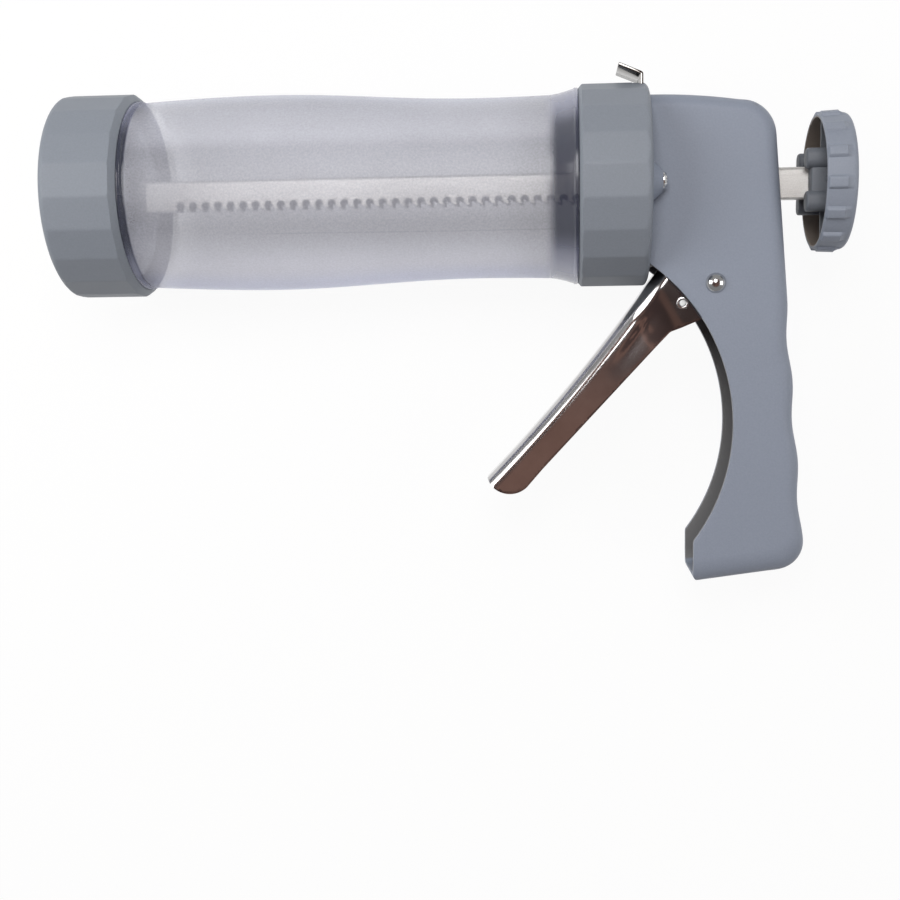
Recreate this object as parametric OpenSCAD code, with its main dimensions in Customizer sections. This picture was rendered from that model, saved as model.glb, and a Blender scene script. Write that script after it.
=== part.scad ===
// Hand lever press for churro dough, lying on its side.
// Working coordinates: X from the front plane of the cap along the barrel to the knob,
// Y from the barrel axis away from the handle, Z from the barrel axis away from the table.
// The last lines move everything so that the origin is the middle of the footprint.

/* [Barrel] */
// Radius of the straight bore that the piston runs in
bore_r = 26.4; // [22:0.1:32]
// Wall at the waist, the thinnest place
barrel_wall = 2.3; // [1.8:0.1:3.5]
// Distance of the waist behind the front plane
waist_x = 136; // [125:1:145]
// Distance of the belly behind the front plane
belly_x = 68; // [55:1:80]
// Radius that the belly adds to the waist
belly_rise = 2.7; // [1:0.1:4]
// Radius that the flare before the rear ring adds
flare_rise = 1.9; // [1:0.1:2.6]
// Wall of the two necks that go into the cap and the ring
neck_wall = 2.5; // [1.8:0.1:3]
// Thickness of the clear collars next to the cap and the ring
collar_l = 1.2; // [0.8:0.1:2]

/* [Cap and ring] */
// Number of grip flats on the cap and on the ring
flats = 20; // [16:1:28]
// Length of the front cap
cap_l = 24.6; // [20:0.1:30]
// Wall of the cap over the corners of its flats
cap_wall = 3.8; // [3:0.1:5]
// Length of the cap's rear bevel
cap_bevel = 2; // [1:0.1:3]
// Radius of the round edge on the cap's front
cap_edge = 3; // [1:0.1:3.4]
// Radius of the opening in the cap's front
mouth_r = 25; // [18:0.1:26]
// Thickness of the cap's front lip
lip_t = 2.2; // [1.5:0.1:3]
// Thickness of the nozzle disc
disc_t = 1.8; // [1.2:0.1:2.5]
// Number of petal slots in the disc
petals = 8; // [5:1:10]
// Distance from the front plane to the rear ring
ring_x = 167.4; // [160:0.1:175]
// Length of the rear ring
ring_l = 22.1; // [20:0.1:26]
// Wall of the ring over the corners of its flats
ring_wall = 3; // [2.6:0.1:4]
// Thickness of the ring's back wall
ring_back = 7.1; // [6:0.1:9]

/* [Handle] */
// Width of the handle across both walls
body_w = 28; // [26:0.1:32]
// Thickness of the handle's side walls
side_wall = 2.6; // [2:0.1:3]
// Thickness of the handle's back, top and bottom
back_wall = 3; // [2.4:0.1:4]
// Height of the body's top over the barrel axis
body_top = 28.2; // [24:0.1:30]
// Distance from the ring to the body's back, at the height of the axis
body_depth = 41.8; // [38:0.1:46]
// Lean of the handle's back, as millimetres per millimetre of height
back_lean = 0.0755; // [0.05:0.0005:0.1]
// Distance of the handle's heel below the barrel axis
heel_drop = 124.8; // [115:0.1:135]
// Depth of the finger waves on the handle's back
wave_depth = 1.1; // [0:0.1:2]
// Pitch of the finger waves
wave_pitch = 25.5; // [22:0.1:26]
// Radius of the arc along the handle's front
front_arc_r = 62.7; // [58:0.1:66]

/* [Rod] */
// Height of the rod's section, with its teeth
rod_h = 10; // [8:0.1:12]
// Thickness of the rod
rod_t = 5.5; // [4:0.1:7]
// Pitch of the ratchet teeth
tooth_pitch = 4.2; // [3.5:0.1:5]
// Depth of the ratchet teeth
tooth_depth = 1.8; // [1:0.1:2.2]
// Number of ratchet teeth
teeth = 41; // [38:1:42]
// Distance of the piston's face behind the front plane
piston_x = 10.5; // [8:0.1:14]
// Length of the piston
piston_l = 15; // [13:0.1:20]

/* [Knob] */
// Distance from the body's back to the knob's hub
knob_gap = 7.2; // [6:0.1:12]
// Radius of the knob at its open rim
knob_r = 21.1; // [18:0.1:24]
// Depth of the knob's cup
knob_l = 10; // [8:0.1:14]
// Number of grip pads on the knob
pads = 14; // [10:1:18]
// Height of the grip pads
pad_h = 1; // [0.4:0.1:1.6]
// Width of the square hub
hub_w = 19.6; // [17:0.1:22]

/* [Trigger] */
// Thickness of the trigger's sheet steel
sheet_t = 1; // [0.8:0.1:1.4]
// Width of the trigger's grip
grip_w = 17.6; // [15:0.1:19]
// Radius of the trigger's front corners
grip_corner = 4.6; // [3:0.1:5]
// Bow of the trigger's front edge
grip_bow = 1.5; // [0.8:0.1:3]
// Radius of the pivot rivet's shank
rivet_r = 2.5; // [2:0.1:3]
// Distance from the pivot to the pawl's pin
arm_l = 16.5; // [15:0.1:17]
// Running clearance round pins
run_gap = 0.05; // [0.02:0.01:0.08]

/* [Release plate] */
// Thickness of the release plate
plate_t = 1; // [0.8:0.1:1.2]
// Width of the release plate
plate_w = 17; // [14:0.1:19]
// Travel of the release plate
plate_travel = 2.3; // [2.2:0.1:3]
// Length of the thumb tab
tab_l = 8.2; // [6:0.1:10]
// Angle between the thumb tab and the upright plate
tab_tilt = 67; // [50:1:80]

/* [Hidden] */
$fn = 64;
eps = 0.01;
slack = 0.3;                 // clear of the teeth and of moving faces
fit = 0.05;                  // between parts that seat on each other

// Barrel, cap and ring
neck_r = bore_r + neck_wall;
socket_r = neck_r + slack;   // bore of the cap and of the ring
waist_r = bore_r + barrel_wall;
belly_r = waist_r + belly_rise;
cap_r = socket_r + cap_wall;
ring_r = socket_r + ring_wall;
disc_r = socket_r - slack;
disc_x = lip_t + fit;
barrel_x = disc_x + disc_t + fit;
ring_back_x = ring_x + ring_l - ring_back;
barrel_end_x = ring_back_x - fit;
body_x = ring_x + ring_l;
cap_clock = -5.1;            // angle of a corner from +Z towards +Y
ring_clock = 6.4;

// Handle
half_w = body_w / 2;
inner_half = half_w - side_wall;
edge_a = 4.5;                // edge rounding, measured in the side view
edge_b = 5;                  // edge rounding, measured across the width
heel_a = 7.5;                // edge rounding along the handle's bottom
top_sag = 0.0022;            // fall of the top edge, per square millimetre
shoulder_r = 11.9;
shoulder_x = body_x + body_depth - 13;
heel_r = 8.3;
heel_slope = 0.131;          // rise of the bottom edge towards the back
wave_start = 37.5;           // first crest below the axis
arc_c = [body_x - 36.4, -76.5];
toe_x = body_x + 14;         // front of the handle's foot
front_wall = 2.6;            // body wall behind the ring
screw_z = half_w + 3.5;
screw_y = -0.4;
boss_r = 6.6;
boss_l = 3.7;
screw_r = 1.5;
screw_head_r = 2.8;
screw_head_h = 1.5;
screw_grip = 5;              // length of thread in the ring

// Rod and piston
rod_top = 4.7;
rod_low = rod_top - rod_h;
guide_gap = 0.35;            // round the rod in its guides
first_tooth_x = 36.4;
knob_x = body_x + body_depth + knob_gap;   // front of the knob's hub
cup_x = knob_x + 3.9;
knob_back_x = cup_x + knob_l;
hub_sink = 1.6;              // core of the hub behind its corner posts
rod_end_x = cup_x + 5;
rod_x = piston_x + 4;
piston_r = bore_r - slack;
seal_r = bore_r - fit;
groove_x = piston_x + 4.2;
groove_l = 2.6;
groove_depth = 2.2;

// Trigger
pivot = [body_x + 20.5, -31.9];
grip_top = [body_x - 0.4, -32];
grip_tip = [body_x - 52.9, -94.7];
tip_c = [body_x - 44.6, -90.9];
tip_r = 8;
rear_low = [body_x - 33.9, -90.7];
rear_top = [body_x + 8.4, -46.1];
flange_low = [body_x + 15.8, -43.4];
flare_half = inner_half - 0.5;             // half width over the upper flanges
stud_c = [body_x + 10.6, -37.9];
stud_r = 1.9;
stud_hole = 1.1;
arm_angle = 80;
pawl_c = pivot + arm_l * [cos(arm_angle), sin(arm_angle)];
pawl_pin_r = 1.5;
pawl_boss_r = 3.2;
chord = grip_top - grip_tip;
chord_l = norm(chord);
bow_r = chord_l * chord_l / (8 * grip_bow) + grip_bow / 2;
chord_mid = (grip_top + grip_tip) / 2;
rear_n = [chord[1], -chord[0]] / chord_l;  // from the front edge to the back
bow_c = chord_mid - (bow_r - grip_bow) * rear_n;

// Release plate
plate_x = body_x - 2.6;                    // front face of the plate
plate_low = -14;
bend_y = ring_r + 2.2;                     // where the thumb tab bends forward
slot_gap = 0.2;
release_wire_r = 0.25;
release_coil_r = 1.1;
pocket_low = plate_low - plate_travel - 10;

// ---- shared shapes ----

// Solid of revolution about the barrel axis: points are [radius, x]
module turned(pts) rotate([0, 90, 0]) rotate_extrude() polygon(pts);

// Cylinder along X from x0, centred on y, z
module rod_x_cyl(x0, l, r, y = 0, z = 0)
  translate([x0, y, z]) rotate([0, 90, 0]) cylinder(r = r, h = l);

// Cylinder along Z through the point p, between z0 and z1
module pin_z(p, r, z0, z1) translate([p[0], p[1], z0]) cylinder(r = r, h = z1 - z0);

// Prism with flat sides about the barrel axis: a corner lies at angle a from +Z
function flat_sided(r, a) =
  [for (i = [0:flats - 1]) r * [cos(a + i * 360 / flats), sin(a + i * 360 / flats)]];
module grip_prism(x0, l, r, a)
  translate([x0, 0, 0]) rotate([0, 90, 0]) mirror([1, 0, 0]) linear_extrude(l)
    polygon(flat_sided(r, a));

function arc(c, r, a0, a1, n) =
  [for (i = [0:n]) c + r * [cos(a0 + (a1 - a0) * i / n), sin(a0 + (a1 - a0) * i / n)]];

// Wire of radius r swept along points, closed at both ends
function unit(v) = v / norm(v);
module wire(path, r, sides = 6) {
  n = len(path);
  dirs = [for (i = [0:n - 1]) unit(path[min(i + 1, n - 1)] - path[max(i - 1, 0)])];
  up = [0.05, 0.12, 1];
  rings = [for (i = [0:n - 1])
    let (u = unit(cross(dirs[i], abs(dirs[i] * unit(up)) > 0.9 ? [1, 0.1, 0] : up)),
         v = cross(dirs[i], u))
    [for (k = [0:sides - 1])
      path[i] + r * (cos(k * 360 / sides) * u + sin(k * 360 / sides) * v)]];
  pts = [for (ring = rings) for (p = ring) p];
  polyhedron(pts, concat(
    [[for (k = [0:sides - 1]) k]],
    [[for (k = [sides - 1:-1:0]) (n - 1) * sides + k]],
    [for (i = [0:n - 2]) for (k = [0:sides - 1])
      [i * sides + k, (i + 1) * sides + k, (i + 1) * sides + (k + 1) % sides]],
    [for (i = [0:n - 2]) for (k = [0:sides - 1])
      [i * sides + k, (i + 1) * sides + (k + 1) % sides, i * sides + (k + 1) % sides]]));
}

// ---- barrel ----

// Outer radius: half a wave from the belly to the waist, then a flare into the ring
function barrel_r(x) =
  x < belly_x ? waist_r + belly_rise * (1 + cos(180 * (belly_x - x) / 82)) / 2
  : x < waist_x ? waist_r + belly_rise * (1 + cos(180 * (x - belly_x) / (waist_x - belly_x))) / 2
  : x < ring_x - 9.4 ? waist_r + 0.3 * pow((x - waist_x) / (ring_x - 9.4 - waist_x), 2)
  : waist_r + 0.3 + flare_rise * pow((x - ring_x + 9.4) / 8.2, 1.5);

module barrel() {
  front = cap_l + collar_l;
  rear = ring_x - collar_l;
  steps = 48;
  lip_r = waist_r + belly_rise / 2 + 0.5;
  rim_r = waist_r + flare_rise + 0.5;
  color([0.80, 0.83, 0.92, 0.6])
  difference() {
    union() {
      turned(concat(
        [[0, cap_l], [lip_r, cap_l], [lip_r, front], [waist_r + 0.9, front + 0.5]],
        [for (i = [0:steps]) let (x = front + 1.4 + (rear - front - 1.4) * i / steps) [barrel_r(x), x]],
        [[rim_r, rear], [rim_r, ring_x - fit], [0, ring_x - fit]]));
      rod_x_cyl(barrel_x, barrel_end_x - barrel_x, neck_r);
    }
    rod_x_cyl(barrel_x - 1, barrel_end_x - barrel_x + 2, bore_r);
  }
}

// ---- cap, disc and ring ----

module front_cap() {
  r = cap_r + fit;
  color([0.50, 0.53, 0.57])
  difference() {
    intersection() {
      grip_prism(0, cap_l, cap_r, cap_clock);
      turned(concat(
        [[0, 0]],
        [for (p = arc([r - cap_edge, cap_edge], cap_edge, -90, 0, 8)) p],
        [[r, cap_l - cap_bevel], [r - cap_bevel * 1.1, cap_l], [0, cap_l]]));
    }
    rod_x_cyl(-1, lip_t + 2, mouth_r);
    rod_x_cyl(lip_t, cap_l, socket_r);
    turned([[0, cap_l - 1], [socket_r, cap_l - 1], [socket_r + 1.2, cap_l + 0.2], [0, cap_l + 0.2]]);
    turned([[0, -0.2], [mouth_r + 1.2, -0.2], [mouth_r, 1], [0, 1]]);
  }
}

module nozzle_disc() {
  petal_in = 6;
  petal_out = 12.5;
  petal_r = 1.6;
  color([0.93, 0.90, 0.74])
  difference() {
    union() {
      rod_x_cyl(disc_x, disc_t, disc_r);
      turned([[0, 0.8], [mouth_r - 0.8, 0.8], [mouth_r - 0.4, 1.2], [mouth_r - 0.4, disc_x + eps],
              [0, disc_x + eps]]);
    }
    rod_x_cyl(-1, disc_x + 1.2, mouth_r - 2.6);
    rotate([0, 90, 0]) translate([0, 0, -1]) linear_extrude(disc_x + disc_t + 2)
      for (i = [0:petals - 1]) rotate(i * 360 / petals) {
        translate([petal_in, 0]) circle(r = petal_r * 0.6);
        translate([petal_out, 0]) circle(r = petal_r);
        polygon([[petal_in, -petal_r * 0.6], [petal_out, -petal_r],
                 [petal_out, petal_r], [petal_in, petal_r * 0.6]]);
      }
    rod_x_cyl(-1, disc_x + disc_t + 2, 1.4);
  }
}

module rear_ring() {
  x1 = body_x;
  r = ring_r + fit;
  edge = 2.4;
  color([0.50, 0.53, 0.57])
  difference() {
    intersection() {
      grip_prism(ring_x, ring_l, ring_r, ring_clock);
      turned(concat(
        [[0, ring_x], [r - 1.4, ring_x], [r - 0.5, ring_x + 0.4], [r, ring_x + 1.3]],
        [for (p = arc([r - edge, x1 - edge], edge, 0, 90, 8)) p],
        [[0, x1]]));
    }
    rod_x_cyl(ring_x - 1, ring_back_x - ring_x + 1, socket_r);
    rod_window(ring_back_x - 1, ring_back + 2);
    // slot of the release plate, open at the top
    translate([plate_x - slot_gap, plate_low - plate_travel - slot_gap, -plate_w / 2 - slot_gap])
      cube([plate_t + 2 * slot_gap, ring_r + 20, plate_w + 2 * slot_gap]);
    // relief under the thumb tab
    translate([plate_x - 2.4, ring_r - 1, -plate_w / 2 - slot_gap])
      cube([3, 10, plate_w + 2 * slot_gap]);
    // pocket of the release spring
    translate([plate_x + plate_t / 2, pocket_low, 0]) rotate([-90, 0, 0])
      cylinder(r = release_coil_r + release_wire_r + 0.15, h = 14);
    for (s = [-1, 1])
      rod_x_cyl(body_x - screw_grip - 0.5, screw_grip + 1, screw_r + 0.02, screw_y, s * screw_z);
  }
}

// Rectangular way for the rod, from x0
module rod_window(x0, l)
  translate([x0, rod_low - guide_gap, -rod_t / 2 - guide_gap])
    cube([l, rod_h + 2 * guide_gap, rod_t + 2 * guide_gap]);

module ring_screws() {
  l = screw_grip + boss_l;
  color([0.82, 0.82, 0.80])
  for (s = [-1, 1]) translate([body_x - screw_grip, screw_y, s * screw_z]) difference() {
    turned([[0, 0], [screw_r, 0], [screw_r, l], [screw_head_r, l], [screw_head_r, l + 0.4],
            [screw_head_r * 0.8, l + 1.1], [screw_head_r * 0.4, l + screw_head_h],
            [0, l + screw_head_h]]);
    translate([l + 0.6, 0, 0]) rotate([0, 90, 0]) linear_extrude(2) union() {
      square([3, 0.7], center = true);
      square([0.7, 3], center = true);
    }
  }
}

// ---- handle body ----

// Back edge of the handle at a height y, with its finger waves
function back_x(y) = body_x + body_depth - back_lean * y
  - (y < -wave_start && y > -wave_start - 3 * wave_pitch
     ? wave_depth * (1 - cos(360 * (-y - wave_start) / wave_pitch)) / 2 : 0);

// Outline of the body in the side view: [x, y, normal angle, edge rounding]
shoulder_c = [shoulder_x, 14.1];
body_mid = [body_x + 16, -50];
heel_c = [body_x + body_depth + back_lean * 116.6 - 8.25, -heel_drop + heel_r * 0.99];
function body_outline() = concat(
  [for (i = [0:6]) let (x = body_x + (shoulder_x + 1.9 - body_x) * i / 6)
    [x, body_top - top_sag * pow(x - body_x, 2), 90 - 7 * i / 6, edge_a]],
  [for (i = [1:9]) let (a = 82 - (82 - 4.3) * i / 9)
    [shoulder_c[0] + shoulder_r * cos(a), shoulder_c[1] + shoulder_r * sin(a), a, edge_a]],
  [for (i = [1:4]) let (y = 15 - (15 + wave_start) * i / 4) [back_x(y), y, 4.3, edge_a]],
  [for (i = [1:30]) let (y = -wave_start - 3 * wave_pitch * i / 30,
    slope = back_lean + wave_depth * 180 / wave_pitch * PI / 180 * sin(360 * i / 10) * -1)
    [back_x(y), y, atan(slope), edge_a]],
  [for (i = [0:9]) let (a = 4.3 - 86.8 * i / 9)
    [heel_c[0] + heel_r * cos(a), heel_c[1] + heel_r * sin(a), a, edge_a + (heel_a - edge_a) * i / 9]],
  [for (x = [body_x + 30, body_x + 20, body_x + 10, body_x])
    [x, heel_c[1] - heel_r - heel_slope * (heel_c[0] - x), x > body_x ? -82.5 : -90, heel_a]]);

// Block of half width w with its long edges rounded by a (side view) and b (across);
// its flat sides are fans of triangles about the point mid
module soft_block(outline, inset, w, a_scale, b, mid, n = 5) {
  m = len(outline);
  levels = concat([for (i = [n:-1:0]) [-1, 90 * i / n]], [for (i = [0:n]) [1, 90 * i / n]]);
  k = len(levels);
  pts = concat(
    [for (l = levels) for (p = outline)
      let (d = inset + p[3] * a_scale * (1 - cos(l[1])))
      [p[0] - d * cos(p[2]), p[1] - d * sin(p[2]), l[0] * (w - b + b * sin(l[1]))]],
    [[mid[0], mid[1], -w], [mid[0], mid[1], w]]);
  polyhedron(pts, concat(
    [for (i = [0:m - 1]) [k * m, (i + 1) % m, i]],
    [for (i = [0:m - 1]) [k * m + 1, (k - 1) * m + i, (k - 1) * m + (i + 1) % m]],
    [for (j = [0:k - 2]) for (i = [0:m - 1])
      [j * m + i, j * m + (i + 1) % m, (j + 1) * m + (i + 1) % m]],
    [for (j = [0:k - 2]) for (i = [0:m - 1])
      [j * m + i, (j + 1) * m + (i + 1) % m, (j + 1) * m + i]]));
}

module handle_body() {
  color([0.53, 0.56, 0.60])
  difference() {
    union() {
      difference() {
        soft_block(body_outline(), 0, half_w, 1, edge_b, body_mid);
        // hollow, open towards the front
        intersection() {
          soft_block(body_outline(), back_wall, inner_half, 0.6, 3, body_mid, 3);
          translate([body_x + front_wall, -200, -50]) cube([100, 300, 100]);
        }
        // finger arc and the foot's front
        pin_z(arc_c, front_arc_r, -50, 50);
        translate([body_x - 60, -200, -50]) cube([toe_x - body_x + 60, 100, 100]);
      }
      for (s = [-1, 1]) intersection() {
        translate([body_x, screw_y, s * screw_z]) rotate([0, 90, 0])
          cylinder(r1 = boss_r, r2 = screw_head_r + 0.4, h = boss_l);
        translate([body_x - 1, -20, s > 0 ? inner_half : -inner_half - 30]) cube([20, 40, 30]);
      }
    }
    rod_window(body_x - 1, body_depth + 10);
    for (s = [-1, 1]) rod_x_cyl(body_x - 1, boss_l + 2, screw_r + run_gap, screw_y, s * screw_z);
    pin_z(pivot, rivet_r + run_gap, -50, 50);
  }
}

// ---- rod, piston and knob ----

// Side view of the toothed edge: upright face at the front, ramp behind it
function tooth_edge() = [for (i = [teeth - 1:-1:0]) let (x = first_tooth_x + i * tooth_pitch)
  for (p = [[x + tooth_pitch * 0.78, rod_low], [x + 0.5, rod_low + tooth_depth],
            [x, rod_low + tooth_depth], [x, rod_low]]) p];

module rod() {
  r = 1.4;
  color([0.84, 0.83, 0.80])
  difference() {
    intersection() {
      translate([0, 0, -rod_t / 2]) linear_extrude(rod_t) polygon(concat(
        [[rod_x, rod_low], [rod_x, rod_top], [rod_end_x, rod_top], [rod_end_x, rod_low + 1.2],
         [knob_x + 0.4, rod_low + 1.2], [knob_x - 0.8, rod_low]],
        tooth_edge()));
      // section with round upper edges
      translate([rod_x - 1, 0, 0]) rotate([0, 90, 0]) linear_extrude(rod_end_x - rod_x + 2)
        polygon(concat(
          arc([rod_t / 2 - r, rod_top + eps - r], r + eps, 0, 90, 6),
          arc([r - rod_t / 2, rod_top + eps - r], r + eps, 90, 180, 6),
          [[-rod_t / 2 - eps, rod_low + 0.4], [0.4 - rod_t / 2, rod_low - eps],
           [rod_t / 2 - 0.4, rod_low - eps], [rod_t / 2 + eps, rod_low + 0.4]]));
    }
    rod_x_cyl(rod_x - 1, 10, 1.6, 0, 0);
  }
}

module piston() {
  x0 = piston_x;
  x1 = piston_x + piston_l;
  skirt = 2.2;
  color([0.42, 0.45, 0.50])
  difference() {
    union() {
      difference() {
        turned(concat(
          [[0, x0], [piston_r - 1.5, x0], [piston_r, x0 + 1.5]],
          [[piston_r, groove_x], [piston_r - groove_depth, groove_x],
           [piston_r - groove_depth, groove_x + groove_l], [piston_r, groove_x + groove_l]],
          [[piston_r, x1 - 5], [0, x1 - 5]]));
        turned([[9, x0 + 3], [piston_r - groove_depth - skirt, x0 + 3],
                [piston_r - groove_depth - skirt, x1], [9, x1]]);
      }
      turned([[0, x0 + 1], [9 + eps, x0 + 1], [9, x1 - 1], [8, x1], [0, x1]]);
      for (i = [0:5]) rotate([i * 60 + 30, 0, 0])
        translate([x0 + 2, 8, -0.8])
          cube([x1 - x0 - 7.5, piston_r - groove_depth - skirt - 7, 1.6]);
    }
    translate([rod_x - fit, rod_low - fit, -rod_t / 2 - fit])
      cube([x1, rod_h + 2 * fit, rod_t + 2 * fit]);
    rod_x_cyl(x0 - 1, 10, 1.6 + 0.2);
    rod_x_cyl(x0 - 1, 3.6, 5.4);
  }
}

module piston_seal() {
  seal_in = piston_r - groove_depth + fit;
  color([0.80, 0.82, 0.84])
  turned([[seal_in, groove_x + fit], [seal_r - 0.3, groove_x + fit],
          [seal_r, groove_x + groove_l / 2 - 0.3], [seal_r, groove_x + groove_l / 2 + 0.3],
          [seal_r - 0.3, groove_x + groove_l - fit], [seal_in, groove_x + groove_l - fit]]);
}

module piston_washer() {
  color([0.80, 0.80, 0.78])
  difference() {
    rod_x_cyl(piston_x + 1.6, 1, 4.9);
    rod_x_cyl(piston_x + 1, 3, 1.6 + 0.15);
  }
}

module piston_screw() {
  head_x = piston_x + 1.6;
  color([0.80, 0.80, 0.78])
  difference() {
    union() {
      rod_x_cyl(head_x - eps, rod_x - head_x + 8, 1.6 - 0.02);
      rod_x_cyl(head_x - 1.5, 1.5, 3.2);
    }
    for (a = [0, 90]) translate([head_x - 1.5, 0, 0]) rotate([a, 0, 0])
      cube([1.6, 3.8, 0.8], center = true);
  }
}

module knob() {
  wall = 1.1;
  r1 = knob_r + 0.3;
  pad_l = 6;
  pad_w = 3.5;
  pad_r = knob_r + pad_h;
  rib_in = hub_w / 2 - 2.2;
  hub_l = knob_back_x - knob_x - 1.5;
  color([0.53, 0.56, 0.60])
  difference() {
    union() {
      // cup with a slightly domed back
      difference() {
        turned(concat(
          [[0, cup_x], [knob_r - 0.3, cup_x], [knob_r, cup_x + 0.4]],
          [for (p = arc([r1 - 2, knob_back_x - 2.6], 2, 0, 80, 8)) p],
          [[r1 * 0.5, knob_back_x - 0.15], [0, knob_back_x]]));
        turned([[0, cup_x - 1], [knob_r - wall, cup_x - 1], [knob_r - wall, knob_back_x - 3.6],
                [knob_r - wall - 1.4, knob_back_x - 2.2], [0, knob_back_x - 2]]);
      }
      // grip pads
      intersection() {
        difference() {
          turned([[0, cup_x + 0.3], [pad_r - 0.3, cup_x + 0.3], [pad_r, cup_x + 0.6],
                  [pad_r, cup_x + pad_l], [pad_r - 0.3, cup_x + pad_l + 0.3], [0, cup_x + pad_l + 0.3]]);
          rod_x_cyl(cup_x - 1, knob_l + 2, knob_r - wall / 2);
        }
        for (i = [0:pads - 1]) rotate([(i + 0.25) * 360 / pads, 0, 0])
          translate([cup_x, -pad_w / 2, 0]) cube([knob_l, pad_w, knob_r * 2]);
      }
      // hub: four corner posts round a core that stands back from their ends
      translate([knob_x, 0, 0]) rotate([0, 90, 0]) difference() {
        linear_extrude(hub_l) union() {
          square(hub_w - 3.2, center = true);
          hub_posts();
        }
        translate([0, 0, -1]) linear_extrude(hub_sink + 1) difference() {
          square(hub_w + 2, center = true);
          hub_posts();
        }
      }
      // ribs from the hub to the rim
      for (a = [0, 90, 180, 270]) rotate([a, 0, 0])
        translate([cup_x + 2, rib_in, -0.6]) cube([knob_l - 3.5, knob_r - wall / 2 - rib_in, 1.2]);
    }
    translate([knob_x - 1, rod_low - fit, -rod_t / 2 - fit])
      cube([rod_end_x - knob_x + 1 + fit, rod_h + 2 * fit, rod_t + 2 * fit]);
  }
}

// Four square posts with round corners, at the corners of the hub
module hub_posts() {
  w = 6.3;
  r = 1.5;
  signs = [-1, 1];
  for (x = signs) for (y = signs) translate([x, y] * (hub_w - w) / 2) {
    square([w, w - 2 * r], center = true);
    square([w - 2 * r, w], center = true);
    for (sx = signs) for (sy = signs) translate([sx, sy] * (w / 2 - r)) circle(r = r, $fn = 24);
  }
}

// ---- trigger ----

// Section of the pressed channel: web at x = 0, open towards +x
module channel(w, depth, t, r) difference() {
  union() {
    translate([r, -w / 2]) square([depth - r, w]);
    translate([0, -w / 2 + r]) square([depth, w - 2 * r]);
    for (s = [-1, 1]) translate([r, s * (w / 2 - r)]) circle(r = r);
  }
  translate([r, -w / 2 + t]) square([depth, w - 2 * t]);
  translate([t, -w / 2 + r]) square([depth, w - 2 * r]);
  for (s = [-1, 1]) translate([r, s * (w / 2 - r)]) circle(r = r - t);
}

top_a = atan2(grip_top[1] - bow_c[1], grip_top[0] - bow_c[0]);
tip_a = atan2(grip_tip[1] - bow_c[1], grip_tip[0] - bow_c[0]);

// The channel swept along the bow between two angles
module swept(w, depth, a0, a1)
  translate([bow_c[0], bow_c[1], 0]) rotate([0, 0, a0]) rotate_extrude(angle = a1 - a0, $fn = 720)
    translate([bow_r, 0]) channel(w, depth, sheet_t, grip_corner);

module trigger() {
  color([0.75, 0.74, 0.73])
  difference() {
    union() {
      // grip, pressed as a channel along a shallow bow
      intersection() {
        swept(grip_w, 20, tip_a - 1, top_a + 0.75);
        linear_extrude(60, center = true) polygon(concat(
          [grip_top + [6, 6], grip_top + [-20, 0], grip_tip + [-16, 8]],
          arc(tip_c, tip_r, 200, 314, 14),
          [rear_low, rear_top, rear_top + [6, 14]]));
      }
      // upper flanges beside the pivot, spread towards the body's walls
      for (s = [-1, 1]) translate([0, 0, s > 0 ? flare_half - sheet_t : -flare_half])
        linear_extrude(sheet_t) flange_outline();
      // shoulders that join the grip to the spread flanges
      for (s = [-1, 1]) intersection() {
        translate([0, 0, s > 0 ? grip_w / 2 - sheet_t : -flare_half])
          linear_extrude(flare_half - grip_w / 2 + sheet_t) shoulder_outline();
        linear_extrude(60, center = true) flange_outline();
      }
    }
    pin_z(pivot, rivet_r + run_gap, -50, 50);
    pin_z(pawl_c, pawl_pin_r + fit / 2, -50, 50);
    pin_z(stud_c, stud_r - 0.5, -50, 50);
  }
}

// Side view of the flanges that carry the pivot and the pawl
module flange_outline() polygon(concat(
  arc(pivot, 7.6, -40, 20, 6),
  arc(pawl_c, 3.6, 0, 180, 10),
  [pivot + [-8.6, 9.5], grip_top + [3.4, 3.2], grip_top + [3.2, -4.6], rear_top + [-9, 5.5],
   rear_top + [-1.6, -0.9], rear_top + [1.9, 0.4], flange_low]));

// Side view of the step between the grip's sides and the flanges
module shoulder_outline() polygon([grip_top + [2.6, 2.6], grip_top + [1.2, -3.6], rear_top + [-9.4, 6],
  rear_top + [-3, -1.6], rear_top + [1.5, 1.8], rear_top + [-5.4, 8.8], grip_top + [6.2, -1.2]]);

module trigger_rivet() {
  color([0.80, 0.80, 0.78])
  difference() {
    union() {
      pin_z(stud_c, stud_r - 0.5 - run_gap / 2, -flare_half, flare_half);
      for (s = [-1, 1]) translate([0, 0, s > 0 ? flare_half : -flare_half - 0.4])
        pin_z(stud_c, stud_r, 0, 0.4);
    }
    pin_z(stud_c, stud_hole - 0.1, -50, 50);
  }
}

module pivot_rivet() {
  dome_r = 3.2;
  dome_h = 2;
  ball_r = (dome_r * dome_r + dome_h * dome_h) / (2 * dome_h);
  color([0.85, 0.85, 0.84])
  union() {
    pin_z(pivot, rivet_r, -half_w - eps, half_w + eps);
    for (s = [-1, 1]) intersection() {
      translate([pivot[0], pivot[1], s * (half_w + dome_h - ball_r)]) sphere(r = ball_r);
      translate([0, 0, s > 0 ? half_w : -half_w - dome_h]) pin_z(pivot, dome_r + 1, 0, dome_h);
    }
  }
}

module pivot_sleeve() {
  half = flare_half - sheet_t - 0.1;
  color([0.72, 0.72, 0.70])
  difference() {
    pin_z(pivot, rivet_r + 1.2, -half, half);
    pin_z(pivot, rivet_r + run_gap, -50, 50);
  }
}

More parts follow.
